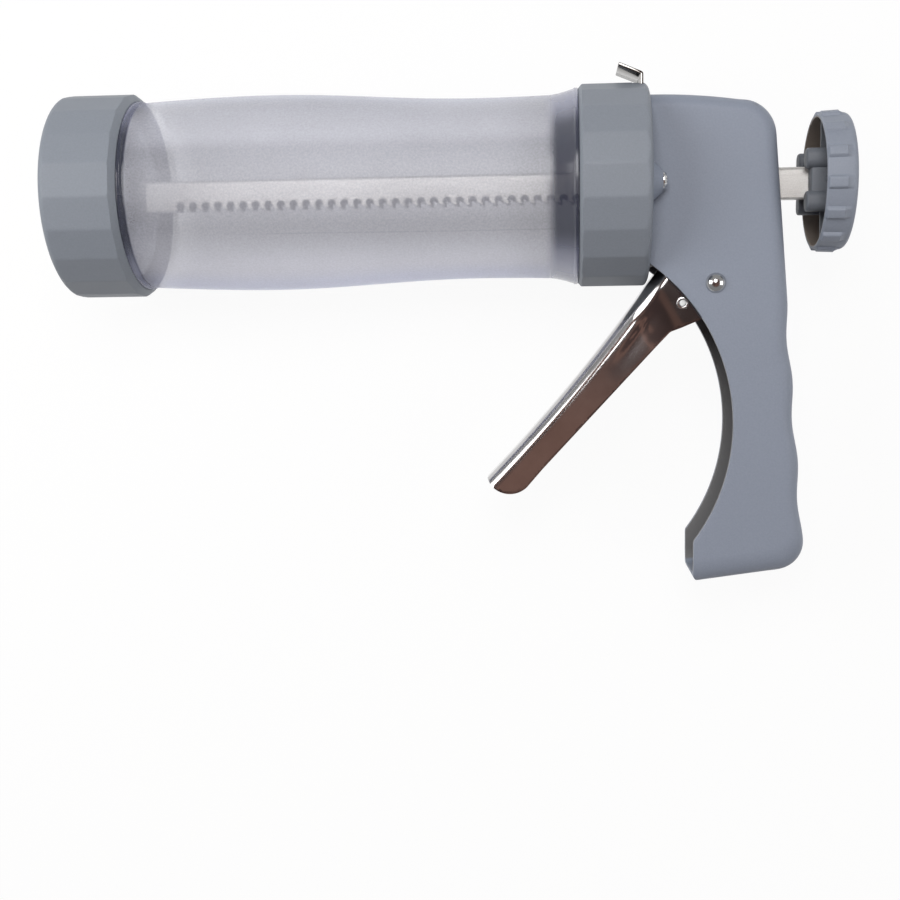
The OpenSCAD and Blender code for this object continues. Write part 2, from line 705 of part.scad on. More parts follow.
spring_wire = 0.6;
module trigger_spring() {
  coil_r = rivet_r + 2.4;
  steps = 40;
  in_a = -72;                       // where the leg from the tubular rivet joins the coil
  out_a = -100 + 5 * 360;           // where the leg to the body's back wall leaves it
  half_l = 4.5;
  in_z = -half_l - 0.2;
  coil = [for (i = [0:steps]) let (a = in_a + (out_a - in_a) * i / steps)
    [pivot[0] + coil_r * cos(a), pivot[1] + coil_r * sin(a), half_l * (2 * i / steps - 1)]];
  last = coil[steps];
  leg_y = last[1] - 3.5;
  wall_x = back_x(leg_y) - back_wall - spring_wire - 0.3;
  color([0.70, 0.70, 0.69])
  wire(concat(
    [[coil[0][0] + 11 * sin(in_a), coil[0][1] - 11 * cos(in_a), in_z]],
    coil,
    [[wall_x, leg_y, half_l + 0.2]]), spring_wire);
}

// ---- drive pawl ----

pawl_tip = [pawl_c[0] - 8.6, rod_low - slack - arm_l * (1 - sin(arm_angle))];
module drive_pawl() {
  half = rod_t / 2 - 0.2;
  color([0.62, 0.62, 0.61])
  difference() {
    union() {
      pin_z(pawl_c, pawl_boss_r, -flare_half + sheet_t + 0.2, flare_half - sheet_t - 0.2);
      translate([0, 0, -half]) linear_extrude(2 * half) polygon(concat(
        arc(pawl_c, pawl_boss_r, 70, -100, 8),
        [pawl_tip + [0.4, -3.4], pawl_tip, pawl_tip + [1.6, 0], pawl_tip + [4, -2.2]]));
    }
    pin_z(pawl_c, pawl_pin_r + run_gap, -50, 50);
  }
}

module pawl_pin() {
  color([0.80, 0.80, 0.78])
  pin_z(pawl_c, pawl_pin_r, -flare_half - 0.3, flare_half + 0.3);
}

module pawl_spring() {
  r = 0.35;
  coil_r = (pawl_boss_r + r + 0.1) / cos(22.5);
  turns = 3;
  pitch = 1.5;
  z0 = 3.6;
  a0 = 200;
  coil = [for (i = [0:turns * 8]) let (a = a0 + i * 45)
    [pawl_c[0] + coil_r * cos(a), pawl_c[1] + coil_r * sin(a), z0 + pitch * i / 8]];
  last = coil[len(coil) - 1];
  ahead = [-sin(a0), cos(a0), 0];
  color([0.70, 0.70, 0.69])
  wire(concat([coil[0] - 4 * ahead], coil, [last + 5 * ahead]), r);
}

// ---- release plate ----

module release_plate() {
  color([0.66, 0.65, 0.62])
  difference() {
    union() {
      translate([plate_x, plate_low, -plate_w / 2]) cube([plate_t, bend_y - plate_low + 0.1, plate_w]);
      translate([plate_x + plate_t, bend_y, 0]) rotate([0, 0, tab_tilt]) translate([-plate_t, 0, 0])
        translate([0, 0, -plate_w / 2]) cube([plate_t, tab_l, plate_w]);
    }
    // window of the rod: its lower edge catches the teeth
    translate([plate_x - 1, rod_low - slack, -rod_t / 2 - guide_gap])
      cube([plate_t + 2, rod_h + 2 * slack + plate_travel + 0.2, rod_t + 2 * guide_gap]);
  }
}

module release_spring() {
  r = release_wire_r;
  y1 = plate_low - r - 0.1;
  y0 = pocket_low + r + 0.1;
  steps = 6 * 8;
  cx = plate_x + plate_t / 2;
  color([0.70, 0.70, 0.69])
  wire([for (i = [0:steps])
    [cx + release_coil_r * cos(i * 45), y0 + (y1 - y0) * i / steps, release_coil_r * sin(i * 45)]], r);
}

// ---- placing: origin at the middle of the footprint, on the table ----

module placed()
  translate([-knob_back_x / 2, -(tab_top + foot_low) / 2, cap_r * cos(cap_clock)]) children();
tab_top = bend_y + tab_l * cos(tab_tilt);
foot_low = heel_c[1] - heel_r - heel_slope * (heel_c[0] - toe_x);

placed() front_cap();
placed() nozzle_disc();
placed() barrel();
placed() rear_ring();
placed() ring_screws();
placed() handle_body();
placed() rod();
placed() piston();
placed() piston_seal();
placed() piston_washer();
placed() piston_screw();
placed() knob();
placed() trigger();
placed() trigger_rivet();
placed() trigger_spring();
placed() pivot_rivet();
placed() pivot_sleeve();
placed() drive_pawl();
placed() pawl_pin();
placed() pawl_spring();
placed() release_plate();
placed() release_spring();
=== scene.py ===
import math

import bmesh
import bpy
import numpy as np
from mathutils import Matrix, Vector
from mathutils.geometry import delaunay_2d_cdt


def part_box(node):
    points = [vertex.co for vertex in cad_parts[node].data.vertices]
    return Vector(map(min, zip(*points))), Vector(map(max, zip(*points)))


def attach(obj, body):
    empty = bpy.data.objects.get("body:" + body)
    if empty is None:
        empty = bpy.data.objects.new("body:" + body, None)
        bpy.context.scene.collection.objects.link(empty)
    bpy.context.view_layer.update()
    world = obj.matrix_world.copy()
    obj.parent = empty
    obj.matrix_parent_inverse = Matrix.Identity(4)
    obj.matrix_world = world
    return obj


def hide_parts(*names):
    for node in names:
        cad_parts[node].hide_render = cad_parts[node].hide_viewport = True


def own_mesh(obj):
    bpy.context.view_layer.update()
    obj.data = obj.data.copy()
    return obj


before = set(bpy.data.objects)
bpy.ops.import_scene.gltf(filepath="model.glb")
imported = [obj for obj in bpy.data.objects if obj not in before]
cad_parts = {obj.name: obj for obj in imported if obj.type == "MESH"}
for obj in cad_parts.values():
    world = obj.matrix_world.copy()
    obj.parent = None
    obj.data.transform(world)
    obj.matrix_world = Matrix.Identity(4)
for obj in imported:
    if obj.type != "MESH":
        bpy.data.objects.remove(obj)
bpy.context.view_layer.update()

print("frame loaded")

# Shapes are worked out in millimetres: x from the cap's front along the barrel, y and z from its axis.
mmPerMetre = 1000
capLow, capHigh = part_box("front_cap")
axisPoint = np.array([capLow.x, (capLow.y + capHigh.y) / 2, (capLow.z + capHigh.z) / 2])


def latticeFaces(rows, cols, wrapRows=False, wrapCols=False):
    # quads between neighbouring points of a lattice, where a point's number is row * cols + column
    r, c = np.meshgrid(np.arange(rows if wrapRows else rows - 1),
                       np.arange(cols if wrapCols else cols - 1), indexing="ij")
    rn, cn = (r + 1) % rows, (c + 1) % cols
    return np.stack([r * cols + c, r * cols + cn, rn * cols + cn, rn * cols + c], -1).reshape(-1, 4)


def rounded(corners, steps=5, closed=False, mostOfSide=0.49):
    # corners are [a, b, radius]: each becomes an arc that touches both its sides, at radius 0 a point
    corners = np.asarray(corners, float)
    spots, radii = corners[:, :2], corners[:, 2]
    ways = np.stack([np.roll(spots, 1, 0), np.roll(spots, -1, 0)]) - spots
    lengths = np.linalg.norm(ways, axis=2)
    ways /= lengths[..., None]
    half = np.arccos(np.clip((ways[0] * ways[1]).sum(1), -1, 1)) / 2
    reach = np.minimum(radii / np.tan(half), mostOfSide * lengths.min(0))
    middle = ways.sum(0)
    centres = spots + middle * (reach / np.cos(half) / np.linalg.norm(middle, axis=1))[:, None]
    start, end = (spots + ways * reach[:, None] - centres)[:, :, None]
    share = np.linspace(0, 1, steps + 1)[None, :, None]
    sweep = (np.pi - 2 * half)[:, None, None]
    turned = np.sin((1 - share) * sweep) * start + np.sin(share * sweep) * end
    arcs = centres[:, None] + turned / np.sin(sweep)
    sharp = radii == 0
    sharp[[0, -1]] |= not closed
    arcs[sharp] = spots[sharp, None]
    kept = np.ones(arcs.shape[:2], bool)
    kept[sharp, 1:] = False
    return arcs[kept]


def lengthAlong(path):
    # running length of a polyline, 0 at its first point
    return np.concatenate([[0], np.cumsum(np.linalg.norm(np.diff(path, axis=0), axis=1))])


def resampled(path, spacing):
    # the same polyline at equal steps along its length
    along = lengthAlong(path)
    at = np.linspace(0, along[-1], max(2, int(round(along[-1] / spacing)) + 1))
    return np.stack([np.interp(at, along, path[:, k]) for k in range(path.shape[1])], -1)


def arc(centre, radius, start, end, steps):
    # points on a circle between two angles in degrees
    angles = np.radians(np.linspace(start, end, steps))
    return np.asarray(centre) + radius * np.stack([np.cos(angles), np.sin(angles)], -1)


def smoothStep(value, low, high):
    # 0 below low, 1 above high, and t * t * (3 - 2 t) between
    part = np.clip((value - low) / (high - low), 0, 1)
    return part * part * (3 - 2 * part)


def lathe(profile, columns, shape=None, closed=False, centre=(0, 0), along="x"):
    # profile of [place, radius] turned about a line along x or z, at the radius times the turn's sine and
    # cosine; shape changes the radius where the section isn't round
    profile = np.asarray(profile, float)
    turn = (np.arange(columns) * 2 * np.pi / columns)[None, :]
    place = np.repeat(profile[:, :1], columns, 1)
    radius = np.repeat(profile[:, 1:], columns, 1)
    if shape is not None:
        radius = shape(place, radius, turn)
    sine, cosine = radius * np.sin(turn), radius * np.cos(turn)
    if along == "x":
        spots = [place, sine + centre[0], cosine + centre[1]]
    else:
        spots = [cosine + centre[0], sine + centre[1], place]
    return np.stack(spots, -1).reshape(-1, 3), [latticeFaces(len(profile), columns, closed, True)]


def tube(path, radius, axis, sides=12):
    # circle carried square to a coil's path, with its first direction square to the coil's axis as well
    ahead = np.gradient(path, axis=0)
    ahead /= np.linalg.norm(ahead, axis=1)[:, None]
    across = np.cross(ahead, axis)
    across /= np.linalg.norm(across, axis=1)[:, None]
    angles = (np.arange(sides) * 2 * np.pi / sides)[None, :, None]
    ring = np.cos(angles) * across[:, None] + np.sin(angles) * np.cross(ahead, across)[:, None]
    caps = np.stack([np.arange(sides)[::-1], np.arange(sides) + (len(path) - 1) * sides])
    return (path[:, None] + radius * ring).reshape(-1, 3), [latticeFaces(len(path), sides, False, True), caps]


def prism(outline, start, end, along="x"):
    # closed outline drawn out between two places: [y, z] outlines along x, [x, y] outlines along z
    outline = np.asarray(outline, float)
    count = len(outline)
    places = np.repeat([float(start), float(end)], count)[:, None]
    flat = np.tile(outline, (2, 1))
    points = np.hstack([places, flat]) if along == "x" else np.hstack([flat, places])
    caps = np.stack([np.arange(count)[::-1], np.arange(count) + count])
    return points, [latticeFaces(2, count, False, True), caps]


def block(low, high):
    # box between two corners
    xs, ys, zs = zip(low, high)
    return prism([[xs[0], ys[0]], [xs[1], ys[0]], [xs[1], ys[1]], [xs[0], ys[1]]], zs[0], zs[1], "z")


def settle(obj):
    # bakes the object's modifiers into its mesh
    bpy.context.view_layer.update()
    baked = bpy.data.meshes.new_from_object(obj.evaluated_get(bpy.context.evaluated_depsgraph_get()))
    obj.modifiers.clear()
    obj.data = baked


def bareObject(name, parts, merge=0.002):
    # one mesh from several [points, groups of faces], with doubles merged and faces turned outwards
    points, faces, offset = [], [], 0
    for partPoints, partFaces in parts:
        points.append(partPoints)
        for group in partFaces:
            faces += (group + offset).tolist()
        offset += len(partPoints)
    mesh = bpy.data.meshes.new(name)
    mesh.from_pydata((np.concatenate(points) / mmPerMetre + axisPoint).tolist(), [], faces)
    work = bmesh.new()
    work.from_mesh(mesh)
    bmesh.ops.remove_doubles(work, verts=work.verts, dist=merge / mmPerMetre)
    bmesh.ops.recalc_face_normals(work, faces=work.faces)
    work.to_mesh(mesh)
    work.free()
    obj = bpy.data.objects.new(name, mesh)
    bpy.context.collection.objects.link(obj)
    return obj


def cut(obj, part):
    # takes a closed solid out of the object
    cutter = bareObject("cutter", [part])
    tool = obj.modifiers.new("cut", "BOOLEAN")
    tool.operation, tool.solver, tool.object = "DIFFERENCE", "EXACT", cutter
    settle(obj)
    bpy.data.objects.remove(cutter)


def bevel(obj, width, segments=3, angle=40):
    # rounds every edge sharper than the angle, width in millimetres
    tool = obj.modifiers.new("bevel", "BEVEL")
    tool.width, tool.segments, tool.limit_method = width / mmPerMetre, segments, "ANGLE"
    tool.angle_limit = math.radians(angle)
    tool.use_clamp_overlap = True
    settle(obj)


def thicken(obj, thickness):
    # gives an open shell its wall, on the inner side
    tool = obj.modifiers.new("wall", "SOLIDIFY")
    tool.thickness, tool.offset, tool.use_even_offset = thickness / mmPerMetre, -1, True
    settle(obj)


def finishPiece(obj, body, material, nodes=(), angle=35):
    # shading, finish and the CAD body that carries the piece
    obj.data.materials.clear()
    obj.data.materials.append(material)
    obj.data.shade_smooth()
    obj.data.set_sharp_from_angle(angle=math.radians(angle))
    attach(obj, body)
    if nodes:
        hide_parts(*nodes)
    print("made", obj.name, len(obj.data.polygons), "faces")


def operator(operation):
    # a Math node's operation as a wire's operator, and the same one reflected
    return (lambda self, other: self.maths(operation, self, other),
            lambda self, other: self.maths(operation, other, self))


class Wire:
    # one output of a material's nodes; arithmetic on wires adds Math nodes
    def __init__(self, tree, socket=None):
        self.tree = tree
        self.socket = socket

    def node(self, kind, settings=None, sockets=None, out=0):
        # any node: its settings first, then the values or links of its sockets
        made = self.tree.nodes.new("ShaderNode" + kind)
        for key, value in (settings or {}).items():
            setattr(made, key, value)
        for key, value in (sockets or {}).items():
            if isinstance(value, Wire):
                self.tree.links.new(value.socket, made.inputs[key])
            else:
                made.inputs[key].default_value = value
        return Wire(self.tree, made.outputs[out] if made.outputs else None)

    def maths(self, operation, first, second):
        # a Math node on two wires or numbers
        return self.node("Math", {"operation": operation}, {0: first, 1: second})

    __add__, __radd__ = operator("ADD")
    __sub__, __rsub__ = operator("SUBTRACT")
    __mul__, __rmul__ = operator("MULTIPLY")
    __truediv__, __rtruediv__ = operator("DIVIDE")
    __pow__, __rpow__ = operator("POWER")

    def larger(self, other):
        return self.maths("MAXIMUM", self, other)

    def smaller(self, other):
        return self.maths("MINIMUM", self, other)

    def swing(self, amount):
        # the amount times how far a noise is from its middle value
        return (self - 0.5) * amount

    def ease(self, low, high):
        # 0 at low, 1 at high, smooth between
        return self.node("MapRange", {"interpolation_type": "SMOOTHSTEP"},
                         {"Value": self, "From Min": low, "From Max": high})

    def between(self, low, high, soft):
        # 1 from low to high, 0 outside
        return self.ease(low - soft, low + soft) * (1 - self.ease(high - soft, high + soft))

    def blend(self, first, second):
        # colour mix, with this wire as its factor
        return self.node("Mix", {"data_type": "RGBA"}, {0: self, 6: first, 7: second}, 2)


def startMaterial(name):
    # an empty node material, its first wire, and the surface's place in millimetres: vector and x, y, z
    material = bpy.data.materials.new(name)
    material.use_nodes = True
    material.node_tree.nodes.clear()
    wire = Wire(material.node_tree)
    spot = wire.node("TexCoord", out=3)
    moved = wire.node("VectorMath", {"operation": "SUBTRACT"}, {0: spot, 1: tuple(axisPoint)})
    inMm = wire.node("VectorMath", {"operation": "SCALE"}, {0: moved, "Scale": float(mmPerMetre)})
    place = [wire.node("SeparateXYZ", sockets={0: inMm}, out=k) for k in range(3)]
    return material, wire, inMm, place


def endMaterial(material, wire, paint, roughness, normal, extra=None):
    # the Principled shader with what varies over the surface, and the sockets that only one finish sets
    sockets = {"Base Color": paint, "Roughness": roughness, "Normal": normal, **(extra or {})}
    shader = wire.node("BsdfPrincipled", sockets=sockets)
    wire.node("OutputMaterial", sockets={"Surface": shader})
    return material


def noise(wire, spot, scale, detail=2.0, rough=0.5, stretch=None):
    # grain of 1/scale millimetres, drawn out where stretch is small
    if stretch:
        spot = wire.node("VectorMath", {"operation": "MULTIPLY"}, {0: spot, 1: stretch})
    return wire.node("TexNoise",
                     sockets={"Vector": spot, "Scale": scale, "Detail": detail, "Roughness": rough})


def bumpOf(wire, height, strength, distance):
    # bump from a height, distance in millimetres
    return wire.node("Bump",
                     sockets={"Strength": strength, "Distance": distance / mmPerMetre, "Height": height})


def opaque(colour, share=1.0):
    # a share of a colour, with its alpha
    return tuple(min(1, c * share) for c in colour) + (1,)


mattPlastic = dict(grain=1.7, grainTone=0.45, grainBump=0.35, grainDepth=0.10, grainRough=0.12, cloud=0.06,
                   cloudTone=0.05, cloudRough=0.16, speck=1.1, speckRange=(0.70, 0.78), speckTone=0.05,
                   light=1.22, dark=0.78, roughness=0.52, specular=0.42)


def makeMattPlastic(name, colour, inner=None, paintedShadeColour=None, s=mattPlastic):
    # spark-eroded mould finish: fine pebbles, a little cloudiness and rubbed spots move the tone between a
    # dark and a light share of the colour; inner(x, y, z) masks a colour of painted shade
    material, wire, spot, place = startMaterial(name)
    pebbles = noise(wire, spot, s["grain"], 3.0, 0.55)
    clouds = noise(wire, spot, s["cloud"], 3.0, 0.6)
    specks = noise(wire, spot, s["speck"]).ease(*s["speckRange"])
    tone = clouds.swing(s["cloudTone"]) + pebbles.swing(s["grainTone"]) + 0.5 + specks * s["speckTone"]
    paint = tone.blend(opaque(colour, s["dark"]), opaque(colour, s["light"]))
    # painted shade where the mask is 1
    if inner:
        paint = inner(*place).blend(paint, opaque(paintedShadeColour))
    roughness = s["roughness"] + clouds.swing(s["cloudRough"]) + pebbles.swing(s["grainRough"])
    normal = bumpOf(wire, pebbles, s["grainBump"], s["grainDepth"])
    return endMaterial(material, wire, paint, roughness, normal, {"Specular IOR Level": s["specular"]})


softPlastic = dict(cloud=0.12, cloudTone=0.36, cloudRough=0.12, pore=2.2, poreTone=0.08, light=1.1, dark=0.9,
                   bump=0.12, depth=0.05, scatter=0.35, scatterScale=0.003)


def makeSoftPlastic(name, colour, roughness, s=softPlastic):
    # smooth moulded plastic with faint flow clouds, a little light going through it
    material, wire, spot = startMaterial(name)[:3]
    clouds = noise(wire, spot, s["cloud"], 3.0, 0.55)
    pores = noise(wire, spot, s["pore"])
    tone = 0.5 + clouds.swing(s["cloudTone"]) + pores.swing(s["poreTone"])
    paint = tone.blend(opaque(colour, s["dark"]), opaque(colour, s["light"]))
    rough = roughness + clouds.swing(s["cloudRough"])
    return endMaterial(material, wire, paint, rough, bumpOf(wire, pores + clouds, s["bump"], s["depth"]),
                       {"Subsurface Weight": s["scatter"], "Subsurface Scale": s["scatterScale"]})


platedSteel = dict(line=1.6, lineWay=(0.12, 2.0, 2.0), smudge=0.09, speck=3.0, speckTone=3, speckBump=4,
                   light=1.14, dark=0.84, darkReflectionShare=0.42, bump=0.25, smoothest=0.02)


def makeMetal(name, colour, roughness, smudge=0.06, scratch=0.02, speckle=0.0, cloud=0.25, darkReflection=None,
              s=platedSteel):
    # plated steel: fine scratches, smudges and, on stamped parts, specks; an optional mask of x, y, z paints
    # a dark reflection
    material, wire, spot, place = startMaterial(name)
    lines = noise(wire, spot, s["line"], 4.0, 0.65, s["lineWay"])
    smudges = noise(wire, spot, s["smudge"], 3.0, 0.6)
    specks = noise(wire, spot, s["speck"], 3.0, 0.7)
    shade = 0.5 + smudges.swing(cloud) + specks.swing(speckle * s["speckTone"])
    paint = shade.blend(opaque(colour, s["dark"]), opaque(colour, s["light"]))
    if darkReflection:
        paint = darkReflection(*place).blend(paint, opaque(colour, s["darkReflectionShare"]))
    rough = (roughness + smudges.swing(smudge) + specks.swing(speckle)).larger(s["smoothest"])
    normal = bumpOf(wire, lines + specks * (speckle * s["speckBump"]), s["bump"], scratch)
    return endMaterial(material, wire, paint, rough, normal, {"Metallic": 1.0})


greyPlastic = makeMattPlastic("greyPlastic", (0.205, 0.228, 0.262))
chromeSteel = makeMetal("chromeSteel", (0.62, 0.62, 0.62), 0.15, smudge=0.02, scratch=0.001)
zincSteel = makeMetal("zincSteel", (0.74, 0.74, 0.73), 0.22, smudge=0.08, scratch=0.01, speckle=0.04)
springSteel = makeMetal("springSteel", (0.55, 0.54, 0.52), 0.28, smudge=0.08)
print("common finishes ready")


def gripFlats(s, soft=0.05, near=30):
    # radius of a prism with flat sides, blended with the turned radius by a soft minimum: a logarithm of two
    # sums of exponents, which near keeps small
    half = np.pi / s["flats"]

    def shape(place, radius, turn):
        # the flat's distance is the corner's radius times two cosines: of half a flat, over that of the turn
        flat = s["corner"] * np.cos(half) / np.cos((turn - math.radians(s["clock"])) % (2 * half) - half)
        return near - soft * np.log(np.exp((near - radius) / soft) + np.exp((near - flat) / soft))
    return shape


# the cap and the ring: over is how far the turned section stands past the corners of the flats
cap = dict(length=24.6, corner=33.0, over=0.05, clock=-5.1, flats=20, mouth=25.0, rim=1.2, socket=29.2,
           lip=2.2, slope=2.0, step=2.2, edge=3.0, columns=400)
capOver = cap["corner"] + cap["over"]
capProfile = rounded([
    [1.0, cap["mouth"], 0.25], [0, cap["mouth"] + cap["rim"], 0.5], [0, capOver, cap["edge"]],
    [cap["length"] - cap["slope"], capOver, 0.7], [cap["length"], cap["corner"] - cap["step"], 0.5],
    [cap["length"], cap["socket"] + cap["rim"], 0.3], [cap["length"] - 1, cap["socket"], 0.2],
    [cap["lip"], cap["socket"], 0.3], [cap["lip"], cap["mouth"], 0.2]], 7, True)
capPiece = bareObject("screw_cap", [lathe(capProfile, cap["columns"], gripFlats(cap), True)])
finishPiece(capPiece, "cap", greyPlastic, ["front_cap"], 28)

ring = dict(start=167.4, length=22.1, corner=32.2, over=0.05, clock=6.4, flats=20, socket=29.2, back=7.1,
            hole=6.3, slope=1.3, step=1.5, edge=2.4, columns=400,
            plateSlot=([186.7, 22, -8.7], [188.1, 40, 8.7]), tabSlot=([184.5, 31.2, -8.7], [187.5, 40, 8.7]))
ringEnd, ringOver = ring["start"] + ring["length"], ring["corner"] + ring["over"]
ringProfile = rounded([
    [ring["start"], ring["socket"], 0.2], [ring["start"], ring["corner"] - ring["step"], 0.4],
    [ring["start"] + ring["slope"], ringOver, 1.0], [ringEnd, ringOver, ring["edge"]],
    [ringEnd, ring["hole"], 0.2], [ringEnd - ring["back"], ring["hole"], 0.2],
    [ringEnd - ring["back"], ring["socket"], 0.3]], 7, True)
ringPiece = bareObject("back_ring", [lathe(ringProfile, ring["columns"], gripFlats(ring), True)])
cut(ringPiece, block(*ring["plateSlot"]))
cut(ringPiece, block(*ring["tabSlot"]))
finishPiece(ringPiece, "press", greyPlastic, ["rear_ring"], 28)

# clear styrene: ranges are [start, full]. The edge tint is a painted lavender sheen, the collar colours paint
# dark shade in the middle of the clear collars and light at their sides, the back and ring tones paint shade
# on the far half and by the ring, the low glow paints light low down, and the bands of painted light and
# shade are [low, high, soft, strength] across the height
clearPlastic = dict(
    haze=(0.63, 0.645, 0.72), edgeSheen=(0.60, 0.635, 0.80), collar=(0.045, 0.05, 0.075),
    collarEdgeLight=(0.27, 0.29, 0.42), frostStart=(26.6, 27.8), frostEnd=(156, 161), outerFace=(27.2, 27.8),
    boreShare=0.05, frostAlpha=0.44, backAlpha=0.84, backRange=(-12, 4), clearAlpha=0.58, collarAlpha=0.80,
    collarRange=(0.50, 0.93), edgeRange=(0.80, 0.99), thinner=0.10, thinRange=(26, 36), grain=1.5,
    grainAlpha=0.10, grainTone=0.34, cloud=0.05, cloudTone=0.12, tone=0.98, backShade=0.40, ringShade=0.16,
    ringShadeRange=(140, 157), lowLight=0.62, lowRange=(-27, -11),
    lightAndShadeBands=((13, 25, 3, 0.22), (-15, -5, 3, -0.07), (5, 12, 2, -0.09)), seam=(-15.25, -14.85, 0.12),
    seamTop=(0, 5), seamRange=(50, 90), seamTone=0.12, frostRoughness=0.40, clearRoughness=0.16,
    cloudRough=0.04, bump=0.35, depth=0.12)


def makeBarrelPlastic(name, s=clearPlastic):
    # the outer face is frosted between the collars, the bore and the collars stay clear; haze and tone come
    # from the place: more haze and painted shade towards the back, painted shade by the ring, painted light
    # low down, pale and dark bands of painted light and shade along the barrel, a painted lavender sheen at
    # the edges, painted dark shade in the middle of the clear collars with painted light at their sides, and
    # a fine mould seam
    material, wire, spot, (x, y, z) = startMaterial(name)
    radius = (y * y + z * z) ** 0.5
    frost = x.ease(*s["frostStart"]) * (1 - x.ease(*s["frostEnd"]))
    outside = s["boreShare"] + (1 - s["boreShare"]) * radius.ease(*s["outerFace"])
    pebbles = noise(wire, spot, s["grain"], 3.0, 0.6)
    clouds = noise(wire, spot, s["cloud"])
    side = (y * y) ** 0.5 / radius
    back = 1 - z.ease(*s["backRange"])
    # painted light: brighter low down, where light through the barrel falls, and pale and dark bands of
    # painted light and shade along it
    glow = (1 - y.ease(*s["lowRange"])) * s["lowLight"]
    for low, high, soft, strength in s["lightAndShadeBands"]:
        glow = glow + y.between(low, high, soft) * strength
    thin = (1 - x.ease(*s["thinRange"])) * s["thinner"]
    haze = s["frostAlpha"] + (s["backAlpha"] - s["frostAlpha"]) * back + pebbles.swing(s["grainAlpha"]) - thin
    # painted dark shade in the middle of the clear collars, painted light towards their sides
    flare = 1 - side.ease(*s["collarRange"])
    clear = s["clearAlpha"] + (s["collarAlpha"] - s["clearAlpha"]) * flare
    alpha = (clear + (haze - clear) * frost) * outside
    tone = s["tone"] + pebbles.swing(s["grainTone"]) + clouds.swing(s["cloudTone"])
    # painted shade: darker on the far half and towards the ring
    tone = tone - back * s["backShade"] - x.ease(*s["ringShadeRange"]) * s["ringShade"]
    seam = y.between(*s["seam"]) * z.ease(*s["seamTop"]) * x.ease(*s["seamRange"])
    # painted lavender sheen towards the barrel's upper and lower edges
    body = side.ease(*s["edgeRange"]).blend(opaque(s["haze"]), opaque(s["edgeSheen"]))
    shaded = wire.node("VectorMath", {"operation": "SCALE"},
                       {0: body, "Scale": tone + glow - seam * s["seamTone"]})
    paint = frost.blend(flare.blend(opaque(s["collarEdgeLight"]), opaque(s["collar"])), shaded)
    roughness = s["clearRoughness"] + frost * (s["frostRoughness"] - s["clearRoughness"])
    roughness = roughness + clouds.swing(s["cloudRough"])
    normal = bumpOf(wire, pebbles * frost, s["bump"], s["depth"])
    return endMaterial(material, wire, paint, roughness, normal, {"Alpha": alpha, "IOR": 1.5})


tubeShape = dict(
    bore=26.4, wall=2.3, waistX=136, bellyX=68, belly=2.7, bellyFall=82, flareX=158, flareRun=8.2, flare=1.9,
    rise=0.3, front=4.1, neck=28.9, columns=256, body=(27.4, 156, 110), flared=(156.8, 165.6, 24),
    frontCollar=[[24.4, 28.9, 0], [24.6, 30.55, 0.3], [25.8, 30.55, 0.35], [26.3, 29.75, 0.3],
                 [26.9, 29.95, 0.2], [27.3, 30.02, 0]],
    backCollar=[[165.9, 30.75, 0], [166.2, 31.1, 0.3], [167.35, 31.1, 0.3], [167.35, 28.9, 0.1],
                [182.35, 28.9, 0.4], [182.35, 26.4, 0.4]])


def barrelRadius(x):
    # half a cosine wave from the belly down on each side, a slight rise from the waist, then a flare
    t = tubeShape
    waist = t["bore"] + t["wall"]
    before = waist + t["belly"] * (1 + np.cos(np.pi * (t["bellyX"] - x) / t["bellyFall"])) / 2
    after = waist + t["belly"] * (1 + np.cos(np.pi * (x - t["bellyX"]) / (t["waistX"] - t["bellyX"]))) / 2
    late = waist + t["rise"] * ((x - t["waistX"]) / (t["flareX"] - t["waistX"])) ** 2
    flare = waist + t["rise"] + t["flare"] * (np.clip(x - t["flareX"], 0, None) / t["flareRun"]) ** 1.5
    early = np.where(x < t["bellyX"], before, after)
    return np.where(x < t["waistX"], early, np.where(x < t["flareX"], late, flare))


bodyX = np.concatenate([np.linspace(*tubeShape["body"]), np.linspace(*tubeShape["flared"])])
barrelProfile = np.concatenate([
    [[tubeShape["front"], tubeShape["neck"]]], rounded(tubeShape["frontCollar"], 4),
    np.stack([bodyX, barrelRadius(bodyX)], -1), rounded(tubeShape["backCollar"], 4),
    [[tubeShape["front"], tubeShape["bore"]]]])
barrelPiece = bareObject("clear_barrel", [lathe(barrelProfile, tubeShape["columns"], None, True)])
finishPiece(barrelPiece, "press", makeBarrelPlastic("barrelPlastic"), ["barrel"], 40)

# the handle: ...Sweep are arcs' angles, ...Cols and ...Rows count lattice points, masks are [start, full]
handle = dict(left=189.5, depth=40.5, lean=0.0755, top=27.1, sag=0.0028, topShort=11.5, shoulder=11.7,
              shoulderY=13.4, shoulderLeanY=13, shoulderSweep=(80, 4.3), waveStart=37.5, wavePitch=25.5,
              waves=3, waveDepth=1.1, heelBottom=-123.5, heel=9.2, heelBackY=-115.0, heelSweep=(2, -82.5),
              heelSlope=0.1435, arcCentre=(153.1, -76.5), arcRadius=62.7, arcStart=-25.4, toe=203.5,
              toeTop=-113.8, toeRound=2.6, halfWidth=14.0, wall=2.6, edgeSide=4.5, edgeHeel=7.5,
              edgeRange=(108, 122), edgeAcross=5.0, spacing=0.9, keyX=225, keyHigh=-5, keyLow=-110,
              ringRows=40, arcRows=120, toeRows=8, wallCols=13, bendCols=12, backCols=5, round=0.5,
              topRows=24, backRows=120, bendRows=16, backGap=(0.4, 1), footIn=2, toeDrop=0.6,
              rodHole=([225, -5.65, -3.1], [245, 5.05, 3.1]))
# painted shade on the handle channel's inner walls: its colour, and the [start, full] ranges of its mask
channel = dict(colour=(0.135, 0.135, 0.137), wall=(12.2, 12.9), back=(5.0, 6.5), top=(22.0, 23.5),
               heel=(3.2, 4.2), heelX=229.5)


